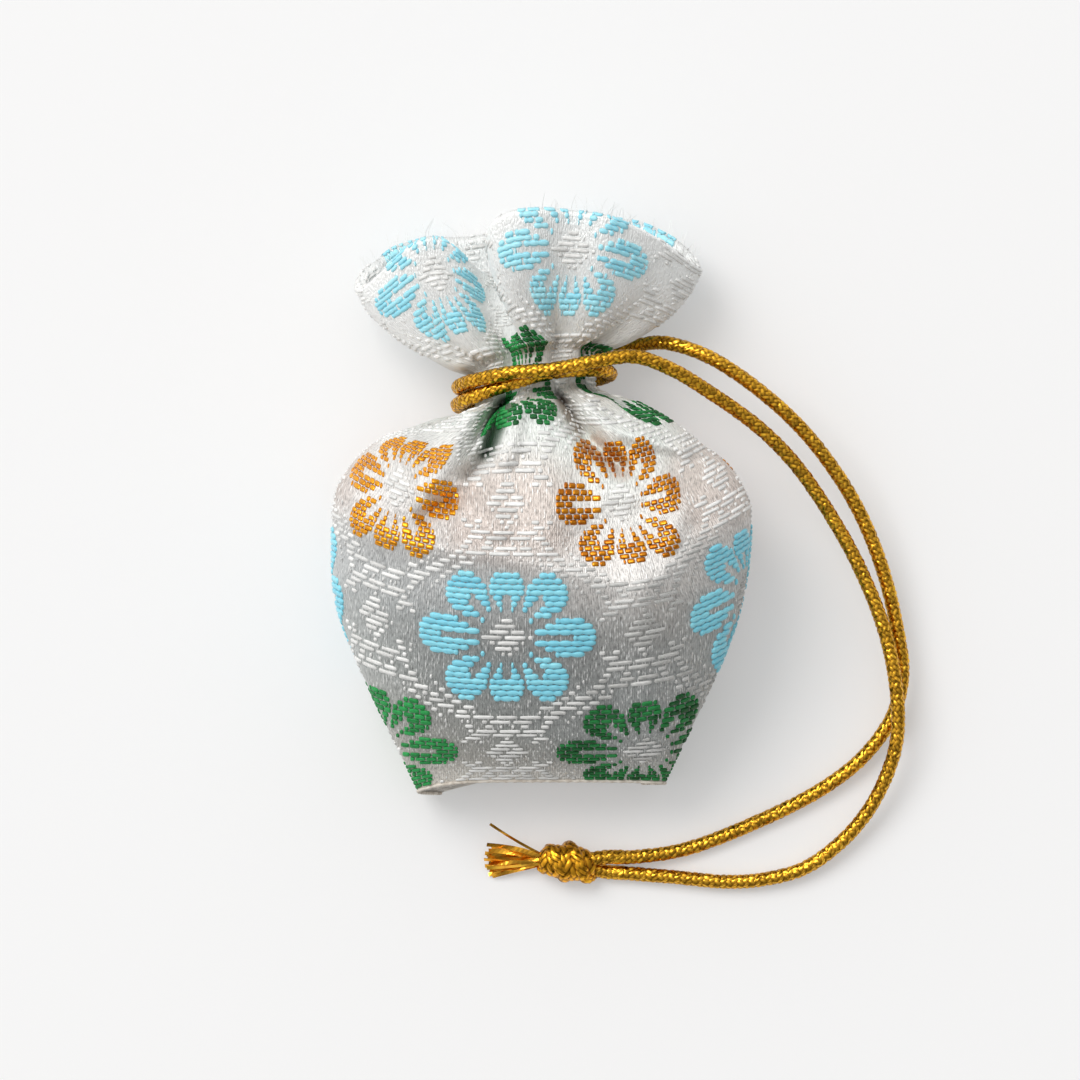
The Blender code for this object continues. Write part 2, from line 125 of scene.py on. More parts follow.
# The drawstring is one length of tubular braid, worked from sixteen flat strips of gilt film, two over
# and two under. It goes twice round the neck and its two tails swing round to the knot they share.
CORD_DIAMETER = 0.0015
ROUTE_TO_NECK = (
    (6.8, -39.6, 0.85), (9.6, -39.8, 0.85), (14.5, -40.2, 0.9), (20.1, -40.7, 0.9), (24.1, -40.4, 1.0),
    (28.4, -39.2, 1.2), (32.5, -36.2, 1.7), (35.4, -32.7, 2.4), (37.4, -28.6, 3.3), (38.3, -25.0, 4.0),
    (38.2, -20.0, 4.7), (37.0, -13.9, 5.1), (34.4, -7.2, 5.6), (31.0, -1.0, 6.3), (27.2, 4.4, 7.4),
    (23.4, 8.2, 8.8), (18.2, 11.9, 11.0), (13.6, 14.6, 12.9), (9.8, 15.8, 14.2),
)
ROUTE_ROUND_NECK = (
    (5.4, 15.2, 15.3), (1.0, 14.4, 15.6), (-3.6, 14.0, 15.0), (-7.4, 13.2, 12.4), (-8.9, 12.6, 8.6),
    (-7.4, 12.2, 4.8), (-4.0, 12.1, 3.5), (-0.6, 12.2, 3.3), (4.8, 13.2, 4.2), (7.4, 14.0, 8.2),
    (5.8, 14.4, 12.0), (1.0, 14.1, 13.6), (-4.4, 12.55, 13.25), (-7.6, 11.4, 11.5), (-9.0, 10.7, 8.2),
    (-7.9, 10.4, 4.4), (-5.7, 10.8, 2.1), (-3.4, 11.7, 1.4), (-0.2, 13.0, 1.2), (4.6, 14.9, 1.6),
    (8.3, 16.4, 3.0),
)
ROUTE_FROM_NECK = (
    (10.7, 17.2, 4.8), (13.0, 17.4, 6.9), (15.6, 16.8, 8.3), (18.8, 15.4, 8.7), (24.1, 11.7, 7.9),
    (28.8, 7.2, 6.7), (33.4, 0.7, 5.3), (36.4, -6.0, 4.4), (38.3, -13.3, 3.5), (38.9, -18.5, 2.8),
    (37.8, -22.9, 2.1), (34.7, -27.2, 1.6), (30.2, -30.7, 1.2), (23.1, -34.3, 0.9), (15.4, -37.2, 0.9),
    (9.9, -38.0, 1.2), (6.8, -38.0, 1.8),
)
STRIPS_EACH_WAY = 8
STRIP_ADVANCE = 0.00062


def through(rows, column, at):
    """A smooth curve through given rows, whose first number is the place, read at the places given."""
    place = np.array([row[0] for row in rows])
    value = np.array([row[column] for row in rows])
    slope = np.gradient(value, place)
    i = np.clip(np.searchsorted(place, at) - 1, 0, len(place) - 2)
    step = place[i + 1] - place[i]
    t = np.clip((at - place[i]) / step, 0, 1)
    start = (2 * t**3 - 3 * t**2 + 1) * value[i] + (t**3 - 2 * t**2 + t) * step * slope[i]
    return start + (3 * t**2 - 2 * t**3) * value[i + 1] + (t**3 - t**2) * step * slope[i + 1]


def laid_out(points, spacing):
    """Points at an even spacing along a smooth curve through a route given in millimetres."""
    route = np.array(points) / 1000
    place = np.concatenate([[0], np.cumsum(np.linalg.norm(np.diff(route, axis=0), axis=1) ** 0.5)])
    rows = [(where, *point) for where, point in zip(place, route)]
    dense = np.linspace(0, place[-1], 4000)
    curve = np.column_stack([through(rows, column, dense) for column in (1, 2, 3)])
    walked = np.concatenate([[0], np.cumsum(np.linalg.norm(np.diff(curve, axis=0), axis=1))])
    wanted = np.linspace(0, walked[-1], max(int(round(walked[-1] / spacing)), 2) + 1)
    return np.column_stack([np.interp(wanted, walked, curve[:, axis]) for axis in range(3)]), wanted


def braid_facets(angle, along, seed):
    """How far the strip on top stands out, from 0 in a gap to 1 on a crown, and a number for its facet."""
    a = angle / (2 * math.pi) * STRIPS_EACH_WAY + along / STRIP_ADVANCE
    b = angle / (2 * math.pi) * STRIPS_EACH_WAY - along / STRIP_ADVANCE
    strip_a = np.floor(a)
    strip_b = np.floor(b)
    a_on_top = np.mod(strip_b - strip_a, 4) < 2
    run_a = np.mod(b - strip_a, 4) / 2
    run_b = (np.mod(a - strip_b - 1, 4)) / 2
    run = np.clip(np.where(a_on_top, run_a, run_b), 0, 1)
    across = np.where(a_on_top, a - strip_a, b - strip_b)
    crown = 1 - np.abs(2 * across - 1) ** 3
    top = np.sin(np.pi * np.clip(run, 0.02, 0.98)) ** 0.6
    turn = np.where(a_on_top, np.mod(strip_a, 8) * 7.1 + np.floor((b - strip_a) / 4),
                    np.mod(strip_b, 8) * 5.3 + np.floor((a - strip_b) / 4) + 0.5)
    chance = np.mod(np.sin(turn * 12.9898 + seed) * 43758.5453, 1)
    return crown * top, chance, across - 0.5


def braided_tube(name, centres, walked, radius, seed, around=32):
    """A closed tube of braid along a row of centres."""
    tangents = np.gradient(centres, axis=0)
    tangents /= np.linalg.norm(tangents, axis=1)[:, None]
    side = np.cross(tangents[0], (0, 0, 1.0))
    side /= np.linalg.norm(side)
    sides = []
    for tangent in tangents:
        side = side - tangent * side.dot(tangent)
        side /= np.linalg.norm(side)
        sides.append(side)
    sides = np.array(sides)
    ups = np.cross(sides, tangents)
    angle = np.linspace(0, 2 * math.pi, around, endpoint=False)[None, :]
    rise, chance, lean = braid_facets(angle, walked[:, None], seed)
    tilt = (chance - 0.5) * lean * 0.50
    reach = np.broadcast_to(radius, len(centres))[:, None] + CORD_DIAMETER / 2 * (0.13 * rise + tilt - 0.10)
    reach = np.broadcast_to(reach, (len(centres), around)).copy()
    reach[0] *= 0.6
    reach[-1] *= 0.6
    points = (centres[:, None, :] + sides[:, None, :] * (reach * np.cos(angle))[:, :, None]
              + ups[:, None, :] * (reach * np.sin(angle))[:, :, None])
    rings = len(centres)
    ring, column = np.meshgrid(np.arange(rings - 1), np.arange(around), indexing="ij")
    after = (column + 1) % around
    quads = np.stack([ring * around + column, ring * around + after,
                      (ring + 1) * around + after, (ring + 1) * around + column], axis=-1).reshape(-1, 4)
    ends = [tuple(range(around))[::-1], tuple(range((rings - 1) * around, rings * around))]
    mesh = bpy.data.meshes.new(name)
    mesh.from_pydata(points.reshape(-1, 3).tolist(), [], quads.tolist() + ends)
    # The strip's rise is kept for the film's colour, which paints shade into the gaps between strips.
    shade = np.clip(0.12 + 0.88 * rise, 0, 1)
    tint = mesh.attributes.new("strip", "FLOAT_COLOR", "POINT")
    colours = np.stack([shade, chance, np.ones_like(shade), np.ones_like(shade)], axis=-1)
    tint.data.foreach_set("color", np.broadcast_to(colours, (rings, around, 4)).astype(np.float32).ravel())
    mesh.polygons.foreach_set("use_smooth", [True] * len(mesh.polygons))
    mesh.update()
    obj = bpy.data.objects.new(name, mesh)
    scene.collection.objects.link(obj)
    return obj


def gilt_film(name, bright, dark, roughness):
    """Gilt film: gold where a strip lies on top, painted shade turning it brown in the gaps where it dives
    under, and no two strips alike.
    """
    material = bpy.data.materials.new(name)
    material.use_nodes = True
    nodes = material.node_tree.nodes
    links = material.node_tree.links
    shader = nodes["Principled BSDF"]
    shader.inputs["Metallic"].default_value = 1.0
    strip = nodes.new("ShaderNodeAttribute")
    strip.attribute_name = "strip"
    parts = nodes.new("ShaderNodeSeparateColor")
    links.new(strip.outputs["Color"], parts.inputs["Color"])
    # Painted shade: the film runs to the dark colour in the gaps between strips.
    depth = nodes.new("ShaderNodeValToRGB")
    depth.color_ramp.elements[0].position = 0.22
    depth.color_ramp.elements[0].color = (*dark, 1)
    depth.color_ramp.elements[1].position = 0.72
    depth.color_ramp.elements[1].color = (*bright, 1)
    links.new(parts.outputs["Red"], depth.inputs["Fac"])
    vary = nodes.new("ShaderNodeMapRange")
    vary.inputs["To Min"].default_value = 0.62
    vary.inputs["To Max"].default_value = 1.15
    links.new(parts.outputs["Green"], vary.inputs["Value"])
    toned = nodes.new("ShaderNodeVectorMath")
    toned.operation = "SCALE"
    links.new(depth.outputs["Color"], toned.inputs[0])
    links.new(vary.outputs["Result"], toned.inputs["Scale"])
    links.new(toned.outputs["Vector"], shader.inputs["Base Color"])
    matt = nodes.new("ShaderNodeMapRange")
    matt.inputs["To Min"].default_value = roughness
    matt.inputs["To Max"].default_value = roughness + 0.18
    links.new(parts.outputs["Green"], matt.inputs["Value"])
    links.new(matt.outputs["Result"], shader.inputs["Roughness"])
    return material


whole_route = ROUTE_TO_NECK + ROUTE_ROUND_NECK + ROUTE_FROM_NECK
centres, walked = laid_out(whole_route, 0.00011)
cord = braided_tube("drawstring_braid", centres, walked, CORD_DIAMETER / 2, 1.7)
cord_gilt = gilt_film("cord_gilt", (1.0, 0.53, 0.045), (0.20, 0.060, 0.003), 0.15)
cord.data.materials.append(cord_gilt)
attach(cord, "root")
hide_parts("drawstring")

# The end knot is an overhand knot of both tails together, pulled up so hard that its turns have merged
# into one lump a little under 6 mm long, with two small bights left standing at its foot.
KNOT_HEART = (
    (5.7, -38.95, 1.35), (4.6, -38.80, 1.70), (3.0, -38.60, 1.85), (1.3, -38.45, 1.80), (-0.3, -38.35, 1.65),
)
KNOT_GIRTH = ((0.0, 0.95), (0.12, 1.40), (0.30, 1.66), (0.55, 1.68), (0.78, 1.46), (0.92, 1.12), (1.0, 0.80))
KNOT_BREADTH = 1.13
KNOT_TURNS = (
    (5.6, -39.2, 1.10), (5.2, -39.95, 1.35), (4.7, -40.0, 2.1), (4.2, -39.0, 2.95), (3.7, -37.9, 2.85),
    (3.2, -37.20, 2.1), (2.9, -37.1, 1.1), (2.8, -38.4, 0.80), (2.7, -39.7, 0.95), (2.5, -39.95, 1.7),
    (2.1, -39.2, 2.75), (1.7, -38.3, 2.90), (1.2, -37.5, 2.50), (0.9, -37.35, 1.7), (0.8, -37.7, 0.95),
    (0.6, -38.6, 0.85), (0.4, -39.1, 1.4), (0.1, -38.8, 1.9),
)
KNOT_TAILS = (
    ((9.0, -39.76, 0.87), (6.9, -39.6, 0.88), (5.6, -39.3, 1.15), (4.2, -38.7, 1.5)),
    ((9.0, -38.0, 1.34), (6.9, -38.0, 1.80), (5.6, -38.2, 1.95), (4.2, -38.6, 1.9)),
)
heart_line, heart_walked = laid_out(KNOT_HEART, 0.00012)
heart_girth = through(KNOT_GIRTH, 1, heart_walked / heart_walked[-1]) / 1000
turn_line, turn_walked = laid_out(KNOT_TURNS, 0.00014)
knot_heart = braided_tube("end_knot_heart", heart_line, heart_walked, heart_girth, 4.1, around=56)
for vertex in knot_heart.data.vertices:
    vertex.co.y = -0.0386 + (vertex.co.y + 0.0386) * KNOT_BREADTH
knot_pieces = [knot_heart, braided_tube("end_knot_turns", turn_line, turn_walked, 0.00080, 8.3)]
for number, tail in enumerate(KNOT_TAILS):
    tail_line, tail_walked = laid_out(tail, 0.00012)
    knot_pieces.append(
        braided_tube(f"end_knot_tail_{number + 1}", tail_line, tail_walked, 0.00077, 2.9 + number)
    )
knot_gilt = gilt_film("knot_gilt", (1.0, 0.47, 0.03), (0.07, 0.018, 0.001), 0.17)
for piece in knot_pieces:
    piece.data.materials.append(cord_gilt if "tail" in piece.name else knot_gilt)
    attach(piece, "root")
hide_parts("end_knot")

# The frayed ends are the cord's own flat strips, cut about 6 mm beyond the knot and sprung apart. Each
# is a ribbon of film half a millimetre wide or less, a few of them creased near the tip.
STRIP_THICKNESS = 0.00006
STRIPS = (
    # where the strip leaves the knot, where it bends, where it ends, and its width
    ((0.1, -37.7, 2.1), (-2.2, -36.7, 2.6), (-5.55, -34.4, 3.0), 0.34),
    ((0.0, -37.9, 2.3), (-2.8, -36.9, 2.6), (-5.9, -36.65, 2.3), 0.55),
    ((0.0, -38.1, 2.2), (-2.9, -37.4, 2.1), (-5.7, -37.3, 1.6), 0.50),
    ((0.0, -38.2, 1.9), (-3.0, -37.9, 1.7), (-6.1, -37.6, 1.1), 0.42),
    ((0.0, -38.3, 2.2), (-3.0, -38.2, 2.2), (-5.8, -38.0, 1.9), 0.48),
    ((0.0, -38.4, 1.8), (-3.1, -38.4, 1.5), (-6.2, -38.3, 0.8), 0.45),
    ((0.0, -38.5, 2.0), (-3.0, -38.6, 1.9), (-5.7, -38.7, 1.4), 0.52),
    ((0.0, -38.6, 1.6), (-3.0, -38.9, 1.2), (-6.1, -39.0, 0.5), 0.40),
    ((0.0, -38.7, 1.9), (-2.9, -39.0, 1.8), (-5.9, -39.2, 1.2), 0.46),
    ((0.0, -38.8, 1.5), (-2.8, -39.3, 1.2), (-5.6, -39.5, 0.7), 0.42),
    ((0.1, -38.9, 1.3), (-1.9, -39.1, 1.2), (-5.3, -40.15, 0.5), 0.46),
    ((0.1, -39.0, 1.1), (-2.4, -39.0, 0.8), (-5.7, -39.95, 0.35), 0.42),
    ((0.0, -38.3, 1.2), (-3.0, -38.1, 0.9), (-5.9, -37.8, 0.35), 0.40),
    ((0.0, -38.1, 1.5), (-2.6, -37.4, 1.3), (-5.4, -37.0, 0.7), 0.38),
)
strip_points = []
strip_faces = []
strip_tints = []
for number, (root, bend, tip, width) in enumerate(STRIPS):
    root, bend, tip = (np.array(p) / 1000 for p in (root, bend, tip))
    base = len(strip_points)
    count = 13
    for step in range(count):
        t = step / (count - 1)
        centre = (1 - t) ** 2 * root + 2 * t * (1 - t) * bend + t * t * tip
        centre = centre + np.array([0, 0, 0.00012 * math.sin(t * 9 + number * 1.9)])
        heading = 2 * (1 - t) * (bend - root) + 2 * t * (tip - bend)
        heading /= np.linalg.norm(heading)
        roll = 0.9 * math.sin(number * 2.4 + t * 2.2)
        across = np.cross(heading, (0, -math.sin(roll), math.cos(roll)))
        across /= np.linalg.norm(across)
        up = np.cross(across, heading)
        half = width / 2000 * (0.62 + 0.38 * min(t * 3, 1))
        for sideways, lift in ((-1, -1), (1, -1), (1, 1), (-1, 1)):
            strip_points.append(centre + across * half * sideways + up * STRIP_THICKNESS / 2 * lift)
            strip_tints.append((0.55 + 0.45 * math.sin(t * 7 + number) ** 2, (number * 0.37) % 1, 1, 1))
        if step:
            before = base + (step - 1) * 4
            here = base + step * 4
            for k in range(4):
                strip_faces.append((before + k, before + (k + 1) % 4, here + (k + 1) % 4, here + k))
    strip_faces.append((base + 3, base + 2, base + 1, base))
    strip_faces.append(tuple(base + (count - 1) * 4 + k for k in range(4)))
fray_mesh = bpy.data.meshes.new("frayed_strips")
fray_mesh.from_pydata([tuple(p) for p in strip_points], [], strip_faces)
fray_tint = fray_mesh.attributes.new("strip", "FLOAT_COLOR", "POINT")
fray_tint.data.foreach_set("color", np.array(strip_tints, dtype=np.float32).ravel())
frayed = bpy.data.objects.new("frayed_strips", fray_mesh)
scene.collection.objects.link(frayed)
fray_mesh.materials.append(gilt_film("loose_gilt", (1.0, 0.50, 0.05), (0.30, 0.10, 0.01), 0.14))
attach(frayed, "root")
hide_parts("frayed_ends")

# The bag is one tube of silver satin brocade, 118 mm round, with a square base sewn in. It is stuffed
# full, drawn in at the neck by the cord, and its hem is turned into the mouth of the ruffle.
BODY_WIDTH = 0.0447
BODY_DEPTH = 0.0265
BODY_LENGTH = 0.0411
BASE_WIDTH = 0.0286
BASE_DEPTH = 0.0084
BASE_DISH = 0.0012
BASE_LIFT = 0.0009
GUSSET_TUCK = 0.0034
BACK_PRESS = 0.0006
LIP_WIDTH = 0.0198
LIP_DEPTH = 0.0129
LIP_LIFT = 0.0028
CORE_WIDTH = 0.0134
CORE_DEPTH = 0.0078
CORE_LIFT = 0.0046
CORE_SHIFT = -0.0007
GROOVE_LENGTH = 0.0058
GROOVE_SHOULDER = 0.0011
RUFFLE_LENGTH = 0.0139
RUFFLE_WIDTH = 0.0370
RUFFLE_DEPTH = 0.0192
RUFFLE_SHIFT = -0.0015
RUFFLE_LIFT = 0.0003
HEM_THICKNESS = 0.0011
BASE_Y = -0.0296
LIP_Y = BASE_Y + BODY_LENGTH
GROOVE_Y = LIP_Y + GROOVE_LENGTH / 2
RUFFLE_Y = LIP_Y + GROOVE_LENGTH
RIM_Y = RUFFLE_Y + RUFFLE_LENGTH
COLUMNS = 372
FINE = 2352
BODY_SECTIONS = (
    (0.000, 0.00, 0.00, 0.00),
    (0.060, 0.21, 0.18, 0.20),
    (0.130, 0.46, 0.43, 0.385),
    (0.250, 0.80, 0.76, 0.62),
    (0.390, 0.98, 0.93, 0.835),
    (0.510, 1.00, 1.00, 0.955),
    (0.590, 1.00, 1.00, 1.00),
)
SHOULDER_SECTIONS = (
    (0.590, 1.00, 1.00, 1.00),
    (0.650, 0.95, 0.93, 0.965),
    (0.715, 0.82, 0.80, 0.86),
    (0.800, 0.62, 0.55, 0.67),
    (0.880, 0.44, 0.37, 0.44),
    (0.940, 0.26, 0.20, 0.23),
    (1.000, 0.00, 0.00, 0.00),
)
RISES = (
    (0.00, -0.0014, -0.0003),
    (0.06, 0.0001, 0.0006),
    (0.13, 0.0016, 0.0020),
    (0.25, 0.0034, 0.0038),
    (0.39, 0.0044, 0.0048),
    (0.57, 0.0050, 0.0052),
    (0.71, 0.0048, 0.0046),
    (0.84, 0.0034, 0.0030),
    (1.00, 0.0000, 0.0000),
)
FOLDS = (
    (-25, -13, 0.0056, 0.0066, 0.0125, 0.0010),
    (19, 13, 0.0044, 0.0026, 0.0080, 0.0008),
    (57, 52, 0.0030, 0.0010, 0.0070, 0.0009),
    (-58, -54, 0.0026, 0.0008, 0.0050, 0.0009),
    (-93, -96, 0.0032, 0.0022, 0.0085, 0.0010),
    (96, 97, 0.0032, 0.0020, 0.0085, 0.0010),
    (-127, -128, 0.0030, 0.0014, 0.0070, 0.0010),
    (131, 130, 0.0030, 0.0014, 0.0070, 0.0010),
    (-160, -158, 0.0030, 0.0012, 0.0080, 0.0010),
    (166, 162, 0.0030, 0.0012, 0.0080, 0.0010),
)
# How the cloth lies round the bag, by the place along the front in metres: how far it lies flat instead of
# being gathered evenly, and how far the stiff gold blossoms on the shoulder draw it together.
CLOTH_ROUND = 117.6
CLOTH_SHIFT = 3.7
GUSSET_HALF = 4.0
TAUT = (
    (-0.030, 1.0, 0.0),
    (-0.012, 1.0, 0.0),
    (-0.006, 0.95, 0.45),
    (-0.001, 0.85, 1.0),
    (0.0045, 0.80, 1.0),
    (0.0090, 0.25, 0.6),
    (0.0115, 0.0, 0.0),
    (0.0320, 0.0, 0.0),
)
BLOSSOM_PULL = ((0, 5, 14.7, 24.2, 36, 70), (0, 5, 11.8, 18.2, 31, 65))
# Creases that handling has left in the front: the line each follows in millimetres, how far it stands
# out or sinks in, and half its width.
CREASES = (
    (((-22.0, -2.2), (-12.0, -4.7), (-4.4, -5.9), (2.0, -7.2), (10.5, -9.4)), 0.70, 1.6),
    (((10.5, -9.4), (15.9, -5.9), (21.8, -1.1)), 0.80, 1.6),
    (((10.5, -9.4), (11.6, -18.0), (13.4, -29.5)), 0.95, 2.2),
    (((10.5, -9.6), (10.2, -8.6)), 1.10, 2.6),
    (((4.4, -3.6), (7.6, -2.2), (10.4, -1.6)), -1.10, 2.6),
    (((-7.6, 1.6), (-9.6, 0.5), (-12.4, -1.4)), -1.50, 0.9),
    (((-15.4, 4.4), (-13.9, 2.0)), 0.90, 3.0),
    (((-8.4, 4.4), (-7.2, 0.2), (-5.0, -2.6)), 0.80, 1.7),
    (((-5.9, 11.4), (-7.6, 8.0), (-9.6, 4.8), (-11.6, 2.2)), 2.20, 1.5),
    (((-4.2, 11.0), (-5.0, 8.0), (-5.7, 5.8), (-7.8, 3.2)), -4.60, 0.8),
    (((-2.4, 11.0), (-3.0, 7.4), (-3.8, 5.0)), 1.60, 1.2),
    (((2.0, 11.6), (3.2, 9.0), (4.8, 6.9), (8.6, 3.8)), -3.40, 0.9),
    (((2.8, 12.4), (5.2, 9.6), (8.2, 7.8), (11.5, 6.9), (15.0, 6.0)), 1.90, 1.1),
    (((-0.6, 11.0), (0.2, 8.0)), 0.60, 1.6),
    (((-1.0, 6.0), (0.6, 0.5), (0.0, -4.5)), 0.55, 2.4),
    (((4.0, 3.6), (5.6, -1.0), (6.8, -6.0)), -0.60, 1.3),
    (((12.8, 3.6), (14.6, -0.6), (13.6, -4.2)), 0.55, 1.4),
    (((-20.0, -12.0), (-12.0, -16.0), (-4.0, -17.5)), -0.45, 2.4),
    (((-16.0, -6.5), (-11.0, -12.0), (-9.5, -20.0)), -0.40, 2.0),
    (((16.5, -10.0), (17.6, -18.0), (16.0, -24.0)), -0.60, 1.8),
    (((5.4, -12.5), (6.8, -20.0), (6.2, -27.5)), -0.40, 1.8),
)


def smooth_step(low, high, at):
    t = np.clip((at - low) / (high - low), 0, 1)
    return t * t * (3 - 2 * t)


def mix(a, b, share):
    return a + (b - a) * share


def body_shares(share):
    crest = BODY_SECTIONS[-1][0]
    low = [through(BODY_SECTIONS, column, share) for column in (1, 2, 3)]
    high = [through(SHOULDER_SECTIONS, column, share) for column in (1, 2, 3)]
    return [np.where(share < crest, a, b) for a, b in zip(low, high)], share < crest


def envelope(y):
    """The bag without its folds: half widths, heights of front and back, and how square it is."""
    share = np.clip((y - BASE_Y) / BODY_LENGTH, 0, 1)
    (left, right, high), below = body_shares(share)
    end_width = np.where(below, BASE_WIDTH, LIP_WIDTH) / 2
    left = mix(end_width, BODY_WIDTH / 2, left)
    right = mix(end_width, BODY_WIDTH / 2, right)
    end_top = np.where(below, BASE_LIFT + BASE_DEPTH, LIP_LIFT + LIP_DEPTH)
    top = mix(end_top, BODY_DEPTH, high)
    low = mix(BASE_LIFT, -BACK_PRESS, smooth_step(0.0, 0.12, share))
    low = mix(low, LIP_LIFT, smooth_step(0.70, 1.0, share) ** 1.4)
    square = mix(3.8, 2.7, smooth_step(0.0, 0.35, share))
    square = mix(square, 2.15, smooth_step(0.6, 1.0, share))
    flare = np.clip((y - RUFFLE_Y) / RUFFLE_LENGTH, 0, 1)
    opened = mix(flare, np.sin(flare * math.pi / 2), 0.55)
    left = mix(left, RUFFLE_WIDTH / 2, opened**0.80)
    right = mix(right, RUFFLE_WIDTH / 2, opened**0.90)
    top = mix(top, RUFFLE_LIFT + RUFFLE_DEPTH, np.sin(flare * math.pi / 2) ** 0.9)
    low = mix(low, RUFFLE_LIFT, np.sin(flare * math.pi / 2))
    shift = RUFFLE_SHIFT * opened + CORE_SHIFT * smooth_step(0.75, 1.0, share) * (1 - opened)
    drawn = smooth_step(GROOVE_LENGTH / 2 + GROOVE_SHOULDER, GROOVE_LENGTH / 2 - GROOVE_SHOULDER,
                        np.abs(y - GROOVE_Y))
    left = mix(left, CORE_WIDTH / 2, drawn)
    right = mix(right, CORE_WIDTH / 2, drawn)
    top = mix(top, CORE_LIFT + CORE_DEPTH, drawn)
    low = mix(low, CORE_LIFT, drawn)
    return left, right, top, low, square, shift, drawn


def fold_depth(y, angle, around, spread):
    """How far the folds pull the cloth in."""
    share = np.clip((y - BASE_Y) / BODY_LENGTH, 0, 1)
    flare = np.clip((y - RUFFLE_Y) / RUFFLE_LENGTH, 0, 1)
    total = 0
    for neck_angle, mouth_angle, neck_depth, mouth_depth, reach, width in FOLDS:
        middle = np.radians(mix(neck_angle, mouth_angle, flare))
        away = (angle - middle + math.pi) % (2 * math.pi) - math.pi
        fade = 1 - smooth_step(0, reach, LIP_Y - y)
        depth = np.where(share < 1, neck_depth * fade**1.2, mix(neck_depth, mouth_depth, flare))
        wide = width * mix(1.0, 1.9, flare) * mix(1.7, 1.0, fade) + spread
        total = total + (depth * np.exp(-np.abs(away * around / wide) ** 1.6)) ** 4
    return total**0.25


def ring_places(y, angle):
    """How far along the bag each point of a ring lies, for a ring that starts at y on the front."""
    share = np.clip((y - BASE_Y) / BODY_LENGTH, 0, 1)
    side = np.abs(np.sin(angle)) ** 2.2
    rise = np.where(np.sin(angle) < 0, through(RISES, 1, share), through(RISES, 2, share)) * side
    tied = smooth_step(0.72, 0.97, share) * (1 - smooth_step(RUFFLE_Y, RIM_Y - 0.004, y))
    tilt = 0.0011 * np.sin(angle) + 0.0011 * (np.cos(angle) - 1)
    flare = np.clip((y - LIP_Y - 0.0042) / (RIM_Y - LIP_Y - 0.0042), 0, 1)
    short_lobe = smooth_step(math.radians(-9), math.radians(-20), angle)
    short_lobe = 0.0024 * short_lobe * smooth_step(math.radians(-180), math.radians(-150), angle)
    droop = mix(0.0060, 0.0056, np.sin(angle) < 0) * np.sin(angle) ** 4
    puff = 0.0022 * np.exp(-((angle + 0.05) / 0.34) ** 2) * smooth_step(-0.002, 0.0060, y)
    puff = puff * smooth_step(0.0118, 0.0080, y)
    return y + puff + rise + tied * tilt - flare**1.3 * short_lobe - flare * (1.5 - 0.5 * flare) * droop


def knocks(x, y):
    """The stuffing's corner under the right flower, with its ridge, and the dent beside it."""
    along = (x - 0.0105) * 0.55 + (y + 0.0102) * 0.83
    across = (x - 0.0105) * 0.83 - (y + 0.0102) * 0.55
    ridge = 0.0011 * np.exp(-((along - 0.002) / 0.0050) ** 2 - (across / 0.0024) ** 2)
    corner = 0.0006 * np.exp(-(along / 0.0030) ** 2 - (across / 0.0030) ** 2)
    dent = 0.0005 * np.exp(-((x - 0.0045) / 0.0045) ** 2 - ((y + 0.0035) / 0.0040) ** 2)
    shoulder = 0.0009 * np.exp(-((x + 0.0150) / 0.0050) ** 2 - ((y - 0.0020) / 0.0050) ** 2)
    return ridge + corner - dent + shoulder


def creases(x, y):
    """The highest ridge and the deepest crease at places on the front, where several meet."""
    ridge = np.zeros_like(x)
    valley = np.zeros_like(x)
    for line, height, width in CREASES:
        nearest = np.full_like(x, 1.0)
        for (ax, ay), (bx, by) in zip(line, line[1:]):
            dx = (bx - ax) / 1000
            dy = (by - ay) / 1000
            t = np.clip(((x - ax / 1000) * dx + (y - ay / 1000) * dy) / (dx * dx + dy * dy), 0, 1)
            nearest = np.minimum(nearest, np.hypot(x - ax / 1000 - t * dx, y - ay / 1000 - t * dy))
        step = height / 1000 * np.exp(-(nearest / (width / 1000)) ** 2)
        ridge = np.maximum(ridge, step)
        valley = np.minimum(valley, step)
    return ridge + valley


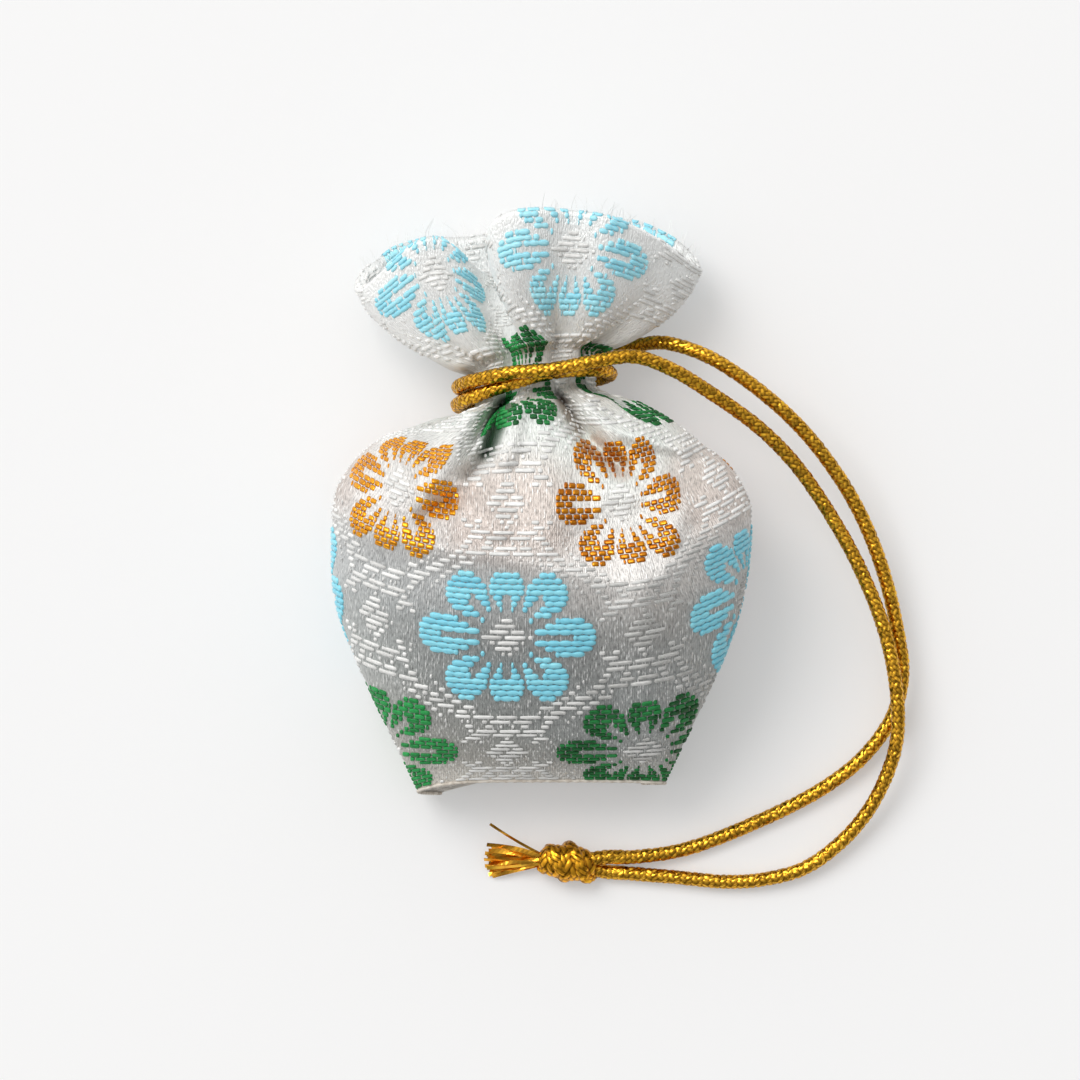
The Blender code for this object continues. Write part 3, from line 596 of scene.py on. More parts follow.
def bag_rings(places, columns, inset=0.0):
    """Rings of cloth that start at the given places along the front, evenly spaced along the cloth."""
    y = np.asarray(places)[:, None]
    angle = np.linspace(-math.pi, math.pi, FINE, endpoint=False)[None, :]
    left, right, top, low, square, shift, drawn = envelope(y)
    sine = np.sin(angle)
    cosine = np.cos(angle)
    half = np.where(sine < 0, left, right)
    x = shift + half * np.sign(sine) * np.abs(sine) ** (2 / square)
    z = (low + top) / 2 + (top - low) / 2 * np.sign(cosine) * np.abs(cosine) ** (2 / square)
    share = np.clip((y - BASE_Y) / BODY_LENGTH, 0, 1)
    along = ring_places(y, angle)
    tangent_x = np.roll(x, -1, 1) - np.roll(x, 1, 1)
    tangent_z = np.roll(z, -1, 1) - np.roll(z, 1, 1)
    length = np.hypot(tangent_x, tangent_z)
    normal_x = -tangent_z / length
    normal_z = tangent_x / length
    around = (left + right + top - low) / 4
    gusset = GUSSET_TUCK * (1 - smooth_step(0.0, 0.42, share)) ** 1.3 * np.exp(-((z - (top + low) / 2)
                            / (0.17 * (top - low) + 0.0006)) ** 2) * (np.abs(sine) > 0.5)
    squeezed = mix(1.0, 0.35, drawn)
    sink = fold_depth(y, angle, around, inset) * squeezed + gusset + inset
    front = smooth_step(0.0, 0.35, cosine) * (1 - drawn) * (y < RUFFLE_Y)
    x = x - normal_x * sink
    z = z - normal_z * sink
    step = np.hypot(np.hypot(np.diff(x, append=x[:, :1]), np.diff(z, append=z[:, :1])),
                    np.diff(along, append=along[:, :1]))
    z = np.maximum(z + (knocks(x, along) + creases(x, along)) * front, 0)
    rings = np.empty((len(places), columns, 3))
    cloth = (np.arange(columns) / columns - 0.5) * CLOTH_ROUND
    for ring, (px, py, pz, gap) in enumerate(zip(x, along, z, step)):
        walked = np.concatenate([[0], np.cumsum(gap)])
        front_mark = walked[FINE // 2]
        left_half, right_half = front_mark, walked[-1] - front_mark
        taut = np.interp(places[ring], [row[0] for row in TAUT], [row[1] for row in TAUT])
        shrunk = np.interp(places[ring], [row[0] for row in TAUT], [row[2] for row in TAUT])
        reach = CLOTH_ROUND / 2
        lain = np.empty(columns)
        for half, way in ((left_half * 1000, -1), (right_half * 1000, 1)):
            side = cloth < 0 if way < 0 else cloth >= 0
            out = np.abs(cloth[side])
            gusset_edge = half / 2 - GUSSET_HALF
            flat = np.append(out, gusset_edge)
            from_heart = way * flat + CLOTH_SHIFT
            pulled = np.sign(from_heart) * np.interp(np.abs(from_heart), *BLOSSOM_PULL) - CLOTH_SHIFT
            flat = mix(flat, way * pulled, shrunk)
            round_side = np.interp(out, (gusset_edge, reach - gusset_edge, reach),
                                   (flat[-1], half - gusset_edge, half))
            true = np.where(out < gusset_edge, flat[:-1], round_side)
            lain[side] = way * mix(half * out / reach, true, taut) / 1000
        wanted = (front_mark + np.maximum.accumulate(lain)) % walked[-1]
        for axis, values in enumerate((px, py, pz)):
            rings[ring, :, axis] = np.interp(wanted, walked, np.append(values, values[0]))
    return rings


# Cloth heights in millimetres above the base seam, against how far along the front they lie.
CLOTH_HEIGHTS = (
    (-29.6, 0.0), (-27.3, 5.0), (-24.3, 10.0), (-20.9, 14.26), (-14.2, 21.46), (-7.3, 28.7), (-0.3, 36.6),
    (5.7, 43.8), (11.5, 50.3), (14.4, 53.7), (17.3, 57.0),
)
RIM_CLOTH = 71.0
THROAT_CLOTH = 82.0
sewn = np.array(CLOTH_HEIGHTS)
lower_cloth = np.linspace(0, sewn[-1, 1], 182)
lower = bag_rings(np.interp(lower_cloth, sewn[:, 1], sewn[:, 0] / 1000), COLUMNS)

# The rim of the ruffle, once round from the back: cloth in millimetres from the middle of the front, and
# where it stands. The right lobe laps over the left one, and the cloth between them is tucked under it.
RIM = (
    (-54.0, -8.0, 28.6, 1.0), (-48.0, -12.5, 28.4, 1.8), (-42.0, -15.8, 27.5, 2.9), (-35.0, -18.1, 25.8, 4.2),
    (-31.0, -19.7, 24.6, 5.6), (-28.0, -20.0, 23.3, 7.6), (-25.2, -19.2, 23.1, 9.6), (-22.0, -17.3, 24.6, 11.8),
    (-18.5, -14.7, 27.0, 13.5), (-14.7, -12.0, 28.3, 14.2), (-11.5, -9.8, 27.8, 13.9), (-8.5, -8.0, 26.4, 12.4),
    (-5.5, -6.6, 25.1, 10.3), (-2.5, -4.8, 24.6, 8.9), (0.0, -3.4, 25.2, 9.6), (1.6, -4.3, 26.6, 12.0),
    (3.0, -5.9, 28.0, 14.6), (4.6, -5.6, 29.6, 16.8), (7.0, -3.7, 30.8, 18.2), (10.0, -0.9, 31.2, 18.6),
    (14.7, 3.4, 31.0, 17.2), (18.4, 6.9, 30.5, 17.8), (22.0, 10.1, 29.4, 16.0), (25.5, 13.2, 27.8, 13.2),
    (29.0, 16.1, 25.8, 9.8), (31.8, 17.2, 25.3, 7.0), (35.0, 16.2, 26.8, 5.2), (39.0, 13.6, 28.8, 4.0),
    (43.0, 10.4, 30.2, 2.9), (47.0, 6.6, 30.6, 1.9), (51.0, 2.4, 30.4, 1.0), (55.0, -1.8, 29.8, 0.6),
    (60.0, -5.6, 29.0, 0.6),
)
around_cloth = (np.arange(COLUMNS) / COLUMNS - 0.5) * CLOTH_ROUND
whole_rim = [(row[0] - CLOTH_SHIFT + turn * CLOTH_ROUND, *row[1:]) for turn in (-1, 0, 1) for row in RIM]
rim = np.column_stack([through(whole_rim, axis, around_cloth) for axis in (1, 2, 3)]) / 1000
neck = lower[-1]
ruffle_cloth = np.linspace(sewn[-1, 1], RIM_CLOTH, 49)[1:]
flare = ((ruffle_cloth - sewn[-1, 1]) / (RIM_CLOTH - sewn[-1, 1]))[:, None]
out_share = mix(flare, np.sin(flare * math.pi / 2), 0.75) ** 0.72
up_share = np.sin(flare * math.pi / 2) ** 0.85
ruffle = np.stack([
    mix(neck[:, 0], rim[:, 0], out_share),
    mix(neck[:, 1], rim[:, 1], flare),
    mix(neck[:, 2], rim[:, 2], up_share),
], axis=-1)
outer = np.concatenate([lower, ruffle])
outer_cloth = np.concatenate([lower_cloth, ruffle_cloth])


def facing(grid):
    """The outward direction of the cloth at each point of a grid of rings."""
    around = np.roll(grid, -1, 1) - np.roll(grid, 1, 1)
    up = np.gradient(grid, axis=0)
    normal = np.cross(around, up)
    return normal / (np.linalg.norm(normal, axis=2)[:, :, None] + 1e-12)


lining = outer - facing(outer) * HEM_THICKNESS
inner_cloth = np.linspace(RIM_CLOTH + 0.9, THROAT_CLOTH, 26)
inner_rows = np.interp(2 * RIM_CLOTH + 0.6 - inner_cloth, outer_cloth, np.arange(len(outer)))
low_row = np.clip(np.floor(inner_rows).astype(int), 0, len(outer) - 2)
part = (inner_rows - low_row)[:, None, None]
inner = lining[low_row] * (1 - part) + lining[low_row + 1] * part
hem = (outer[-1] + inner[0]) / 2
outward = (outer[-1] - outer[-3]) / np.linalg.norm(outer[-1] - outer[-3], axis=1)[:, None]
hem = hem + outward * HEM_THICKNESS * 0.45
throat_ring = (inner[-1] + inner[-1].mean(axis=0)) / 2
base_centre = outer[0].mean(axis=0)
base = []
for step in (4, 3, 2, 1):
    share = 1 - step / 5
    ring = base_centre + (outer[0] - base_centre) * share
    ring[:, 1] = mix(base_centre[1] + BASE_DISH, outer[0][:, 1], share**1.5)
    base.append(ring)
surface = np.concatenate([np.array(base), outer, hem[None], inner, throat_ring[None]])
surface_cloth = np.concatenate([[-4, -3, -2, -1], outer_cloth, [RIM_CLOTH + 0.45], inner_cloth,
                                [THROAT_CLOTH + 1.5]])
rings = len(surface)
ring, column = np.meshgrid(np.arange(rings - 1), np.arange(COLUMNS), indexing="ij")
after = (column + 1) % COLUMNS
quads = np.stack([ring * COLUMNS + column, ring * COLUMNS + after,
                  (ring + 1) * COLUMNS + after, (ring + 1) * COLUMNS + column], axis=-1).reshape(-1, 4)
bag_mesh = bpy.data.meshes.new("brocade_bag")
bottom = rings * COLUMNS
bag_points = surface.reshape(-1, 3).tolist()
bag_points.append((base_centre + np.array([0, BASE_DISH, 0])).tolist())
bag_points.append(throat_ring.mean(axis=0).tolist())
caps = []
for i in range(COLUMNS):
    j = (i + 1) % COLUMNS
    caps.append((j, i, bottom))
    caps.append(((rings - 1) * COLUMNS + i, (rings - 1) * COLUMNS + j, bottom + 1))
bag_mesh.from_pydata(bag_points, [], quads.tolist() + caps)
# Two folds under the cord are so deep that painted shade darkens the cloth in them: to dark green in the left
# one, where a blossom is tucked in, and plain cloth to brown in the right one.
DEEP_FOLD_PAINTED_SHADE = (
    (((-3.8, 10.6), (-4.8, 8.2), (-5.8, 5.6)), 0.95, (0.012, 0.08, 0.025)),
    (((2.0, 11.4), (2.9, 9.6), (4.0, 7.9)), 0.60, (0.42, 0.34, 0.27)),
)
fold_shade_tint = np.ones((len(bag_points), 4))
bag_places = np.array(bag_points) * 1000
for line, width, colour in DEEP_FOLD_PAINTED_SHADE:
    nearest = np.full(len(bag_places), 99.0)
    for (ax, ay), (bx, by) in zip(line, line[1:]):
        dx, dy = bx - ax, by - ay
        t = np.clip(((bag_places[:, 0] - ax) * dx + (bag_places[:, 1] - ay) * dy) / (dx * dx + dy * dy), 0, 1)
        nearest = np.minimum(nearest, np.hypot(bag_places[:, 0] - ax - t * dx, bag_places[:, 1] - ay - t * dy))
    fold_shade_share = np.exp(-(nearest / width) ** 4) * (bag_places[:, 2] > 7) * (bag_places[:, 1] < 11.6)
    fold_shade_tint[:, :3] *= 1 - fold_shade_share[:, None] * (1 - np.array(colour))
tucked = bag_mesh.attributes.new("deep_fold_painted_shade", "FLOAT_COLOR", "POINT")
tucked.data.foreach_set("color", fold_shade_tint.astype(np.float32).ravel())
weave_uv = bag_mesh.uv_layers.new(name="OFBake")
low_cloth = surface_cloth[0] - 1
cloth_span = surface_cloth[-1] + 1 - low_cloth
heights = (surface_cloth - low_cloth) / cloth_span
uv = np.empty((len(bag_mesh.loops), 2), dtype=np.float32)
grid_uv = np.empty((rings - 1, COLUMNS, 4, 2), dtype=np.float32)
grid_uv[:, :, 0, 0] = grid_uv[:, :, 3, 0] = column / COLUMNS
grid_uv[:, :, 1, 0] = grid_uv[:, :, 2, 0] = (column + 1) / COLUMNS
grid_uv[:, :, 0, 1] = grid_uv[:, :, 1, 1] = heights[:-1, None]
grid_uv[:, :, 2, 1] = grid_uv[:, :, 3, 1] = heights[1:, None]
uv[: grid_uv.size // 2] = grid_uv.reshape(-1, 2)
cap_uv = np.empty((COLUMNS, 2, 3, 2), dtype=np.float32)
turn = np.arange(COLUMNS) / COLUMNS
cap_uv[:, 0, 0] = np.stack([turn + 1 / COLUMNS, np.full(COLUMNS, heights[0])], axis=-1)
cap_uv[:, 0, 1] = np.stack([turn, np.full(COLUMNS, heights[0])], axis=-1)
cap_uv[:, 0, 2] = np.stack([turn + 0.5 / COLUMNS, np.zeros(COLUMNS)], axis=-1)
cap_uv[:, 1, 0] = np.stack([turn, np.full(COLUMNS, heights[-1])], axis=-1)
cap_uv[:, 1, 1] = np.stack([turn + 1 / COLUMNS, np.full(COLUMNS, heights[-1])], axis=-1)
cap_uv[:, 1, 2] = np.stack([turn + 0.5 / COLUMNS, np.ones(COLUMNS)], axis=-1)
uv[grid_uv.size // 2:] = cap_uv.reshape(-1, 2)
weave_uv.data.foreach_set("uv", uv.ravel())
bag_mesh.polygons.foreach_set("use_smooth", [True] * len(bag_mesh.polygons))
bag_mesh.update()
bag = bpy.data.objects.new("brocade_bag", bag_mesh)
scene.collection.objects.link(bag)

satin = bpy.data.materials.new("silver_satin")
satin.use_nodes = True
satin_nodes = satin.node_tree.nodes
satin_links = satin.node_tree.links
satin_shader = satin_nodes["Principled BSDF"]
satin_shader.inputs["Roughness"].default_value = 0.46
satin_shader.inputs["Specular IOR Level"].default_value = 1.0
satin_shader.inputs["Metallic"].default_value = 0.28
satin_shader.inputs["Anisotropic"].default_value = 0.55
satin_shader.inputs["Sheen Weight"].default_value = 0.25
satin_shader.inputs["Sheen Roughness"].default_value = 0.4
cloth_place = satin_nodes.new("ShaderNodeUVMap")
cloth_place.uv_map = "OFBake"
# The satin's warp lies on top in short floats, each 0.25 mm wide and two picks long, stepped like bricks.
spread_out = satin_nodes.new("ShaderNodeSeparateXYZ")
satin_links.new(cloth_place.outputs["UV"], spread_out.inputs["Vector"])


def reckon(operation, first, second=None, third=None):
    """A sum in the satin's shading."""
    node = satin_nodes.new("ShaderNodeMath")
    node.operation = operation
    for socket, value in zip(node.inputs, (first, second, third)):
        if isinstance(value, (int, float)):
            socket.default_value = value
        elif value is not None:
            satin_links.new(value, socket)
    return node.outputs["Value"]


def between(source, span, result=(0.0, 1.0), smooth=True):
    """Bring a value from one span to another, eased at both ends where smooth, and held outside it."""
    node = satin_nodes.new("ShaderNodeMapRange")
    node.interpolation_type = "SMOOTHSTEP" if smooth else "LINEAR"
    for socket, value in zip(("From Min", "From Max", "To Min", "To Max"), (*span, *result)):
        node.inputs[socket].default_value = value
    satin_links.new(source, node.inputs["Value"])
    return node.outputs["Result"]


ends_across = reckon("MULTIPLY", spread_out.outputs["X"], CLOTH_ROUND / 0.25)
end_number = reckon("FLOOR", ends_across)
end_part = reckon("FRACT", ends_across)
stagger = satin_nodes.new("ShaderNodeTexWhiteNoise")
stagger.noise_dimensions = "1D"
satin_links.new(end_number, stagger.inputs["W"])
stepped = reckon("MULTIPLY_ADD", end_number, 0.5, reckon("MULTIPLY", stagger.outputs["Value"], 0.30))
up_warp = reckon("ADD", reckon("MULTIPLY", spread_out.outputs["Y"], cloth_span / 1.2625), stepped)
float_number = reckon("FLOOR", up_warp)
float_part = reckon("FRACT", up_warp)
each_float = satin_nodes.new("ShaderNodeTexWhiteNoise")
each_float.noise_dimensions = "2D"
float_name = satin_nodes.new("ShaderNodeCombineXYZ")
satin_links.new(end_number, float_name.inputs["X"])
satin_links.new(float_number, float_name.inputs["Y"])
satin_links.new(float_name.outputs["Vector"], each_float.inputs["Vector"])
across_float = reckon("POWER", reckon("ABSOLUTE", reckon("MULTIPLY_ADD", end_part, 2.0, -1.0)), 2.5)
along_float = reckon("POWER", reckon("ABSOLUTE", reckon("MULTIPLY_ADD", float_part, 2.0, -1.0)), 3.5)
crown = reckon("MULTIPLY", reckon("MULTIPLY_ADD", across_float, -0.8, 1.0),
               reckon("MULTIPLY_ADD", along_float, -0.85, 1.0))
# No two ends are quite alike: uneven streaks run along the warp, and single floats get a painted highlight.
streak_place = satin_nodes.new("ShaderNodeCombineXYZ")
satin_links.new(ends_across, streak_place.inputs["X"])
satin_links.new(reckon("MULTIPLY", spread_out.outputs["Y"], cloth_span / 0.85), streak_place.inputs["Y"])
streak = satin_nodes.new("ShaderNodeTexNoise")
streak.inputs["Scale"].default_value = 1.3
streak.inputs["Detail"].default_value = 2.0
streak.inputs["Roughness"].default_value = 0.6
satin_links.new(streak_place.outputs["Vector"], streak.inputs["Vector"])
streaked = between(streak.outputs["Fac"], (0.36, 0.64), smooth=False)
one_float = reckon("MULTIPLY", crown, reckon("MULTIPLY_ADD", each_float.outputs["Value"], 0.70, 0.30))
thread_level = reckon("MULTIPLY_ADD", one_float, 0.5, reckon("MULTIPLY", streaked, 0.5))
# Each float and streak is a little lighter or darker at random, and painted shade darkens the gaps round each
# float.
float_tone_and_gap_shade = satin_nodes.new("ShaderNodeValToRGB")
float_tone_and_gap_shade.color_ramp.elements[0].position = 0.0
float_tone_and_gap_shade.color_ramp.elements[0].color = (0.44, 0.44, 0.43, 1)
float_tone_and_gap_shade.color_ramp.elements[1].position = 0.70
float_tone_and_gap_shade.color_ramp.elements[1].color = (1.0, 1.0, 0.985, 1)
middle_thread = float_tone_and_gap_shade.color_ramp.elements.new(0.36)
middle_thread.color = (0.84, 0.845, 0.835, 1)
satin_links.new(thread_level, float_tone_and_gap_shade.inputs["Fac"])
# The coloured wefts carried behind the satin tint it: green low down, then blue, gold, green, blue. The same
# ramp paints shade by height: darker over the belly, paler on the shoulder and ruffle.
height = satin_nodes.new("ShaderNodeSeparateXYZ")
satin_links.new(cloth_place.outputs["UV"], height.inputs["Vector"])
weft_tint_and_painted_shade = satin_nodes.new("ShaderNodeValToRGB")
tint_and_shade_stops = (
    (0.5, (1.0, 0.94, 0.86)), (3.5, (0.84, 0.80, 0.74)), (9, (0.64, 0.63, 0.60)),
    (16, (0.60, 0.625, 0.625)),
    (23, (0.64, 0.665, 0.675)), (28, (0.70, 0.71, 0.715)), (33.5, (0.82, 0.785, 0.765)),
    (39, (0.94, 0.915, 0.895)),
    (45, (0.96, 0.95, 0.925)), (51, (0.95, 1.0, 0.96)), (58, (1.0, 1.0, 0.97)), (66, (0.98, 1.0, 1.0)),
    (72, (0.92, 0.99, 1.0)),
)
fill_ramp(weft_tint_and_painted_shade, [((at - low_cloth) / cloth_span, (*colour, 1)) for at, colour in tint_and_shade_stops])
# The bag's corner stands out under the right flower, and a painted highlight carries the paler cloth lower
# there.
CORNER_PLACE = 0.5 + 11.0 / CLOTH_ROUND
from_corner = reckon("ABSOLUTE", reckon("SUBTRACT", height.outputs["X"], CORNER_PLACE))
corner_painted_highlight = between(from_corner, (0.0, 26.0 / CLOTH_ROUND), (9.0 / cloth_span, 0.0))
satin_links.new(reckon("ADD", height.outputs["Y"], corner_painted_highlight), weft_tint_and_painted_shade.inputs["Fac"])
tinted_and_shaded = satin_nodes.new("ShaderNodeMix")
tinted_and_shaded.data_type = "RGBA"
tinted_and_shaded.blend_type = "MULTIPLY"
tinted_and_shaded.inputs["Factor"].default_value = 1.0
satin_links.new(float_tone_and_gap_shade.outputs["Color"], tinted_and_shaded.inputs["A"])
satin_links.new(weft_tint_and_painted_shade.outputs["Color"], tinted_and_shaded.inputs["B"])
# Between the gold blossoms their metal weft is carried behind the satin and warms it, and painted shade dulls
# it in the dip between them.
GOLD_BLOSSOM = 14.7
GOLD_ROW = 35.6
from_front = reckon("MULTIPLY_ADD", height.outputs["X"], CLOTH_ROUND, CLOTH_SHIFT - CLOTH_ROUND / 2)
from_blossom = reckon("ABSOLUTE", reckon("SUBTRACT", reckon("ABSOLUTE", from_front), GOLD_BLOSSOM))
# Between shoulder and base seam painted sheen and painted shade make the satin brightest on the left, towards
# the lamp, darkest right of the middle, and a little paler again at the right edge.
HALF_FRONT = 30
left_edge = 0.5 - (CLOTH_SHIFT + HALF_FRONT) / CLOTH_ROUND
right_edge = 0.5 + (HALF_FRONT - CLOTH_SHIFT) / CLOTH_ROUND
across_front = between(height.outputs["X"], (left_edge, right_edge), smooth=False)
painted_sheen_ramp = satin_nodes.new("ShaderNodeValToRGB")
painted_sheen_stops = (
    (0.0, 1.0), (0.12, 1.0), (0.28, 0.86), (0.45, 0.66), (0.60, 0.60), (0.75, 0.64), (0.88, 0.74), (1.0, 0.80),
)
fill_ramp(painted_sheen_ramp, [(at, (level, level, level * 0.985, 1)) for at, level in painted_sheen_stops])
satin_links.new(across_front, painted_sheen_ramp.inputs["Fac"])
above_seam = reckon("MULTIPLY_ADD", height.outputs["Y"], cloth_span, low_cloth)
from_gold_row = reckon("ABSOLUTE", reckon("SUBTRACT", above_seam, GOLD_ROW))
behind = between(from_blossom, (5.0, 10.5))
in_row = between(from_gold_row, (7.5, 2.5))
warmed_and_shaded = satin_nodes.new("ShaderNodeMix")
warmed_and_shaded.data_type = "RGBA"
warmed_and_shaded.blend_type = "MULTIPLY"
warmed_and_shaded.inputs["B"].default_value = (0.80, 0.72, 0.68, 1)
satin_links.new(reckon("MULTIPLY", behind, in_row), warmed_and_shaded.inputs["Factor"])
below_shoulder = between(above_seam, (27, 21))
clear_of_seam = between(above_seam, (0.5, 6.0))
# The painted sheen and shade are multiplied into the satin's colour here.
lying = satin_nodes.new("ShaderNodeMix")
lying.data_type = "RGBA"
lying.blend_type = "MULTIPLY"
painted_sheen_mask = reckon("MULTIPLY", below_shoulder, clear_of_seam)
satin_links.new(painted_sheen_mask, lying.inputs["Factor"])
satin_links.new(tinted_and_shaded.outputs["Result"], lying.inputs["A"])
satin_links.new(painted_sheen_ramp.outputs["Color"], lying.inputs["B"])
satin_links.new(lying.outputs["Result"], warmed_and_shaded.inputs["A"])
# Painted highlight: the crowns of the floats are lightened towards white.
painted_glint = between(thread_level, (0.60, 0.88), (0.0, 0.85), smooth=False)
painted_highlight_mix = satin_nodes.new("ShaderNodeMix")
painted_highlight_mix.data_type = "RGBA"
painted_highlight_mix.inputs["B"].default_value = (0.98, 0.98, 0.965, 1)
# Painted light: the ruffle is paler, as light shines through its thin cloth.
ruffle_painted_backlight = between(above_seam, (55, 61), (0.0, 0.8), smooth=False)
painted_highlight_share = reckon("MAXIMUM", painted_glint, ruffle_painted_backlight)
satin_links.new(painted_highlight_share, painted_highlight_mix.inputs["Factor"])
satin_links.new(warmed_and_shaded.outputs["Result"], painted_highlight_mix.inputs["A"])
# The painted shade of the two deep folds is multiplied into the satin's colour.
fold_shade_node = satin_nodes.new("ShaderNodeAttribute")
fold_shade_node.attribute_name = "deep_fold_painted_shade"
fold_shaded = satin_nodes.new("ShaderNodeMix")
fold_shaded.data_type = "RGBA"
fold_shaded.blend_type = "MULTIPLY"
fold_shaded.inputs["Factor"].default_value = 1.0
satin_links.new(painted_highlight_mix.outputs["Result"], fold_shaded.inputs["A"])
satin_links.new(fold_shade_node.outputs["Color"], fold_shaded.inputs["B"])
satin_links.new(fold_shaded.outputs["Result"], satin_shader.inputs["Base Color"])
satin_bump = satin_nodes.new("ShaderNodeBump")
satin_bump.inputs["Strength"].default_value = 0.9
satin_bump.inputs["Distance"].default_value = 0.00014
satin_links.new(thread_level, satin_bump.inputs["Height"])
satin_links.new(satin_bump.outputs["Normal"], satin_shader.inputs["Normal"])
grain = satin_nodes.new("ShaderNodeTangent")
grain.direction_type = "UV_MAP"
grain.uv_map = "OFBake"
satin_links.new(grain.outputs["Tangent"], satin_shader.inputs["Tangent"])
bag_mesh.materials.append(satin)
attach(bag, "root")
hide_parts("pouch")

# The figure of the brocade is floated over the satin in extra wefts: rows of eight-petalled blossoms in
# green, blue and gold, each shifted half a repeat, and a tracery of white between them.
PICK = 0.63125
REPEAT = 29.4
ROW_PICKS = 24
FIRST_PICK = 10
# How long each float of the metal, green and white wefts is, and how far each pick steps from the last.
CUT = {"gold": (1.10, 0.5), "green": (1.25, 0.5), "white": (2.50, 0.29), "ruffle": (3.30, 0.37)}
BLOSSOM_COLOURS = ("green", "blue", "gold", "green", "blue")
# Each petal: its direction in degrees, reach, half width, and half the slot between its two legs.
PETALS = (
    (0, 9.5, 2.05, 0.30, 7.0),
    (48, 8.7, 2.25, 0.46, 5.8),
    (90, 7.5, 1.95, 0.42, 4.8),
    (132, 8.7, 2.25, 0.46, 5.8),
    (180, 9.5, 2.05, 0.30, 7.0),
    (228, 8.7, 2.25, 0.46, 5.8),
    (270, 7.5, 1.95, 0.42, 4.8),
    (312, 8.7, 2.25, 0.46, 5.8),
)


def in_blossom(du, dv):
    """True on the petals of a blossom, at places in millimetres from its heart."""
    found = np.zeros(du.shape, dtype=bool)
    for degrees, reach, half, slot, slot_end in PETALS:
        c = math.cos(math.radians(degrees))
        s = math.sin(math.radians(degrees))
        t = du * c + dv * s
        w = np.abs(dv * c - du * s)
        widest = np.minimum(half, 0.78 + 0.58 * np.clip(t - 3.2, 0, None))
        round_off = np.clip((t - (reach - 2.0)) / 2.0, 0, 1)
        widest = widest * np.sqrt(1 - round_off**2 * 0.92)
        found |= (t > 2.9) & (t < reach) & (w < widest) & ~((w < slot) & (t < slot_end))
    return found


def figure(u, v):
    """Which weft floats at each place on the cloth: 0 none, 1 green, 2 blue, 3 gold, 4 white."""
    found = np.zeros(u.shape, dtype=int)
    clear = np.ones(u.shape, dtype=bool)
    rings_round = []
    for row in range(-1, 6):
        heart = (FIRST_PICK + ROW_PICKS * row) * PICK
        offset = REPEAT / 2 if row % 2 == 0 else 0.0
        du = np.abs((u - offset + REPEAT / 2) % REPEAT - REPEAT / 2)
        dv = v - heart
        rings_round.append((du, np.abs(dv)))
        if 0 <= row < 5:
            petals = in_blossom((u - offset + REPEAT / 2) % REPEAT - REPEAT / 2, dv)
            found[petals] = {"green": 1, "blue": 2, "gold": 3}[BLOSSOM_COLOURS[row]]
        picks_off = np.abs(dv) / PICK
        heart_half = np.select([picks_off < 0.5, picks_off < 1.5, picks_off < 2.5, picks_off < 3.5],
                               [2.9, 2.0, 1.45, 0.75], 0)
        found[du < heart_half] = 4
        clear &= np.hypot(du / 9.9, dv / 8.3) > 1
        side = np.abs(du - REPEAT / 2)
        found[side / 2.4 + np.abs(dv) / 3.0 < 1] = 4
    for number, (du, dv) in enumerate(rings_round):
        outside = np.ones(u.shape, dtype=bool)
        for other, (far_u, far_v) in enumerate(rings_round):
            if other != number:
                outside &= np.hypot(far_u / 12.1, far_v / 10.2) > 1
        free = clear & (found == 0)
        close_ring = (np.abs(np.hypot(du / 9.5, dv / 9.2) - 1) < 0.042) & (du > 3.2) & (dv > 3.9)
        middle_ring = (np.abs(np.hypot(du / 11.9, dv / 9.9) - 1) < 0.044) & (dv > 1.7)
        wide_ring = (np.abs(np.hypot(du / 13.8, dv / 11.8) - 1) < 0.038) & (dv > 3.3) & outside
        hook = (np.abs(np.hypot((du - 11.0) / 1.4, dv / 2.5) - 1) < 0.20) & (du < 11.2)
        bar = (np.abs(dv - 5.95) < 0.30) & (du > 9.0) & (du < 13.0)
        curl = (np.abs(np.hypot((du - 13.1) / 1.0, (dv - 4.7) / 1.2) - 1) < 0.28) & (du > 12.8)
        found[(close_ring | middle_ring | wide_ring | hook | bar | curl) & free] = 4
    # Two green blossoms lie in the pleats of the neck: of the left one nothing is left on the face, and
    # of the right one the top is tucked away.
    in_pleats = ((u > -37) & (u < -14.5) & (v > 43) & (v < 61)) | ((u > 17) & (u < 42) & (v > 57.4) & (v < 61))
    found[in_pleats & (found == 1)] = 0
    return found


along_u = np.arange(-CLOTH_ROUND / 2, CLOTH_ROUND / 2, 0.05)
pick_numbers = np.arange(1, int(THROAT_CLOTH / PICK) - 3)
across_u, across_v = np.meshgrid(along_u, pick_numbers * PICK)
woven = figure(across_u, across_v)
dice = np.random.default_rng(7)
floats = {"green": [], "blue": [], "ruffle": [], "gold": [], "white": []}
for pick, row in zip(pick_numbers, woven):
    edges = np.flatnonzero(np.diff(row)) + 1
    starts = np.concatenate([[0], edges])
    ends = np.concatenate([edges, [len(row)]])
    for start, end in zip(starts, ends):
        kind = (None, "green", "blue", "gold", "white")[row[start]]
        if kind is None or end - start < 5:
            continue
        u0 = along_u[start]
        u1 = along_u[end - 1] + 0.05
        v = pick * PICK + dice.normal(0, 0.012)
        if kind == "blue" and v > 57:
            kind = "ruffle"
        if kind in CUT:
            length, step = CUT[kind]
            first = (math.floor(u0 / length) + (pick * step) % 1) * length - length
            cuts = [u0, *(c for c in np.arange(first, u1, length) if u0 + 0.3 < c < u1 - 0.3), u1]
        else:
            cuts = [u0, u1]
        for a, b in zip(cuts, cuts[1:]):
            floats[kind].append((a, b, v, int(pick)))

surface_normal = facing(surface)


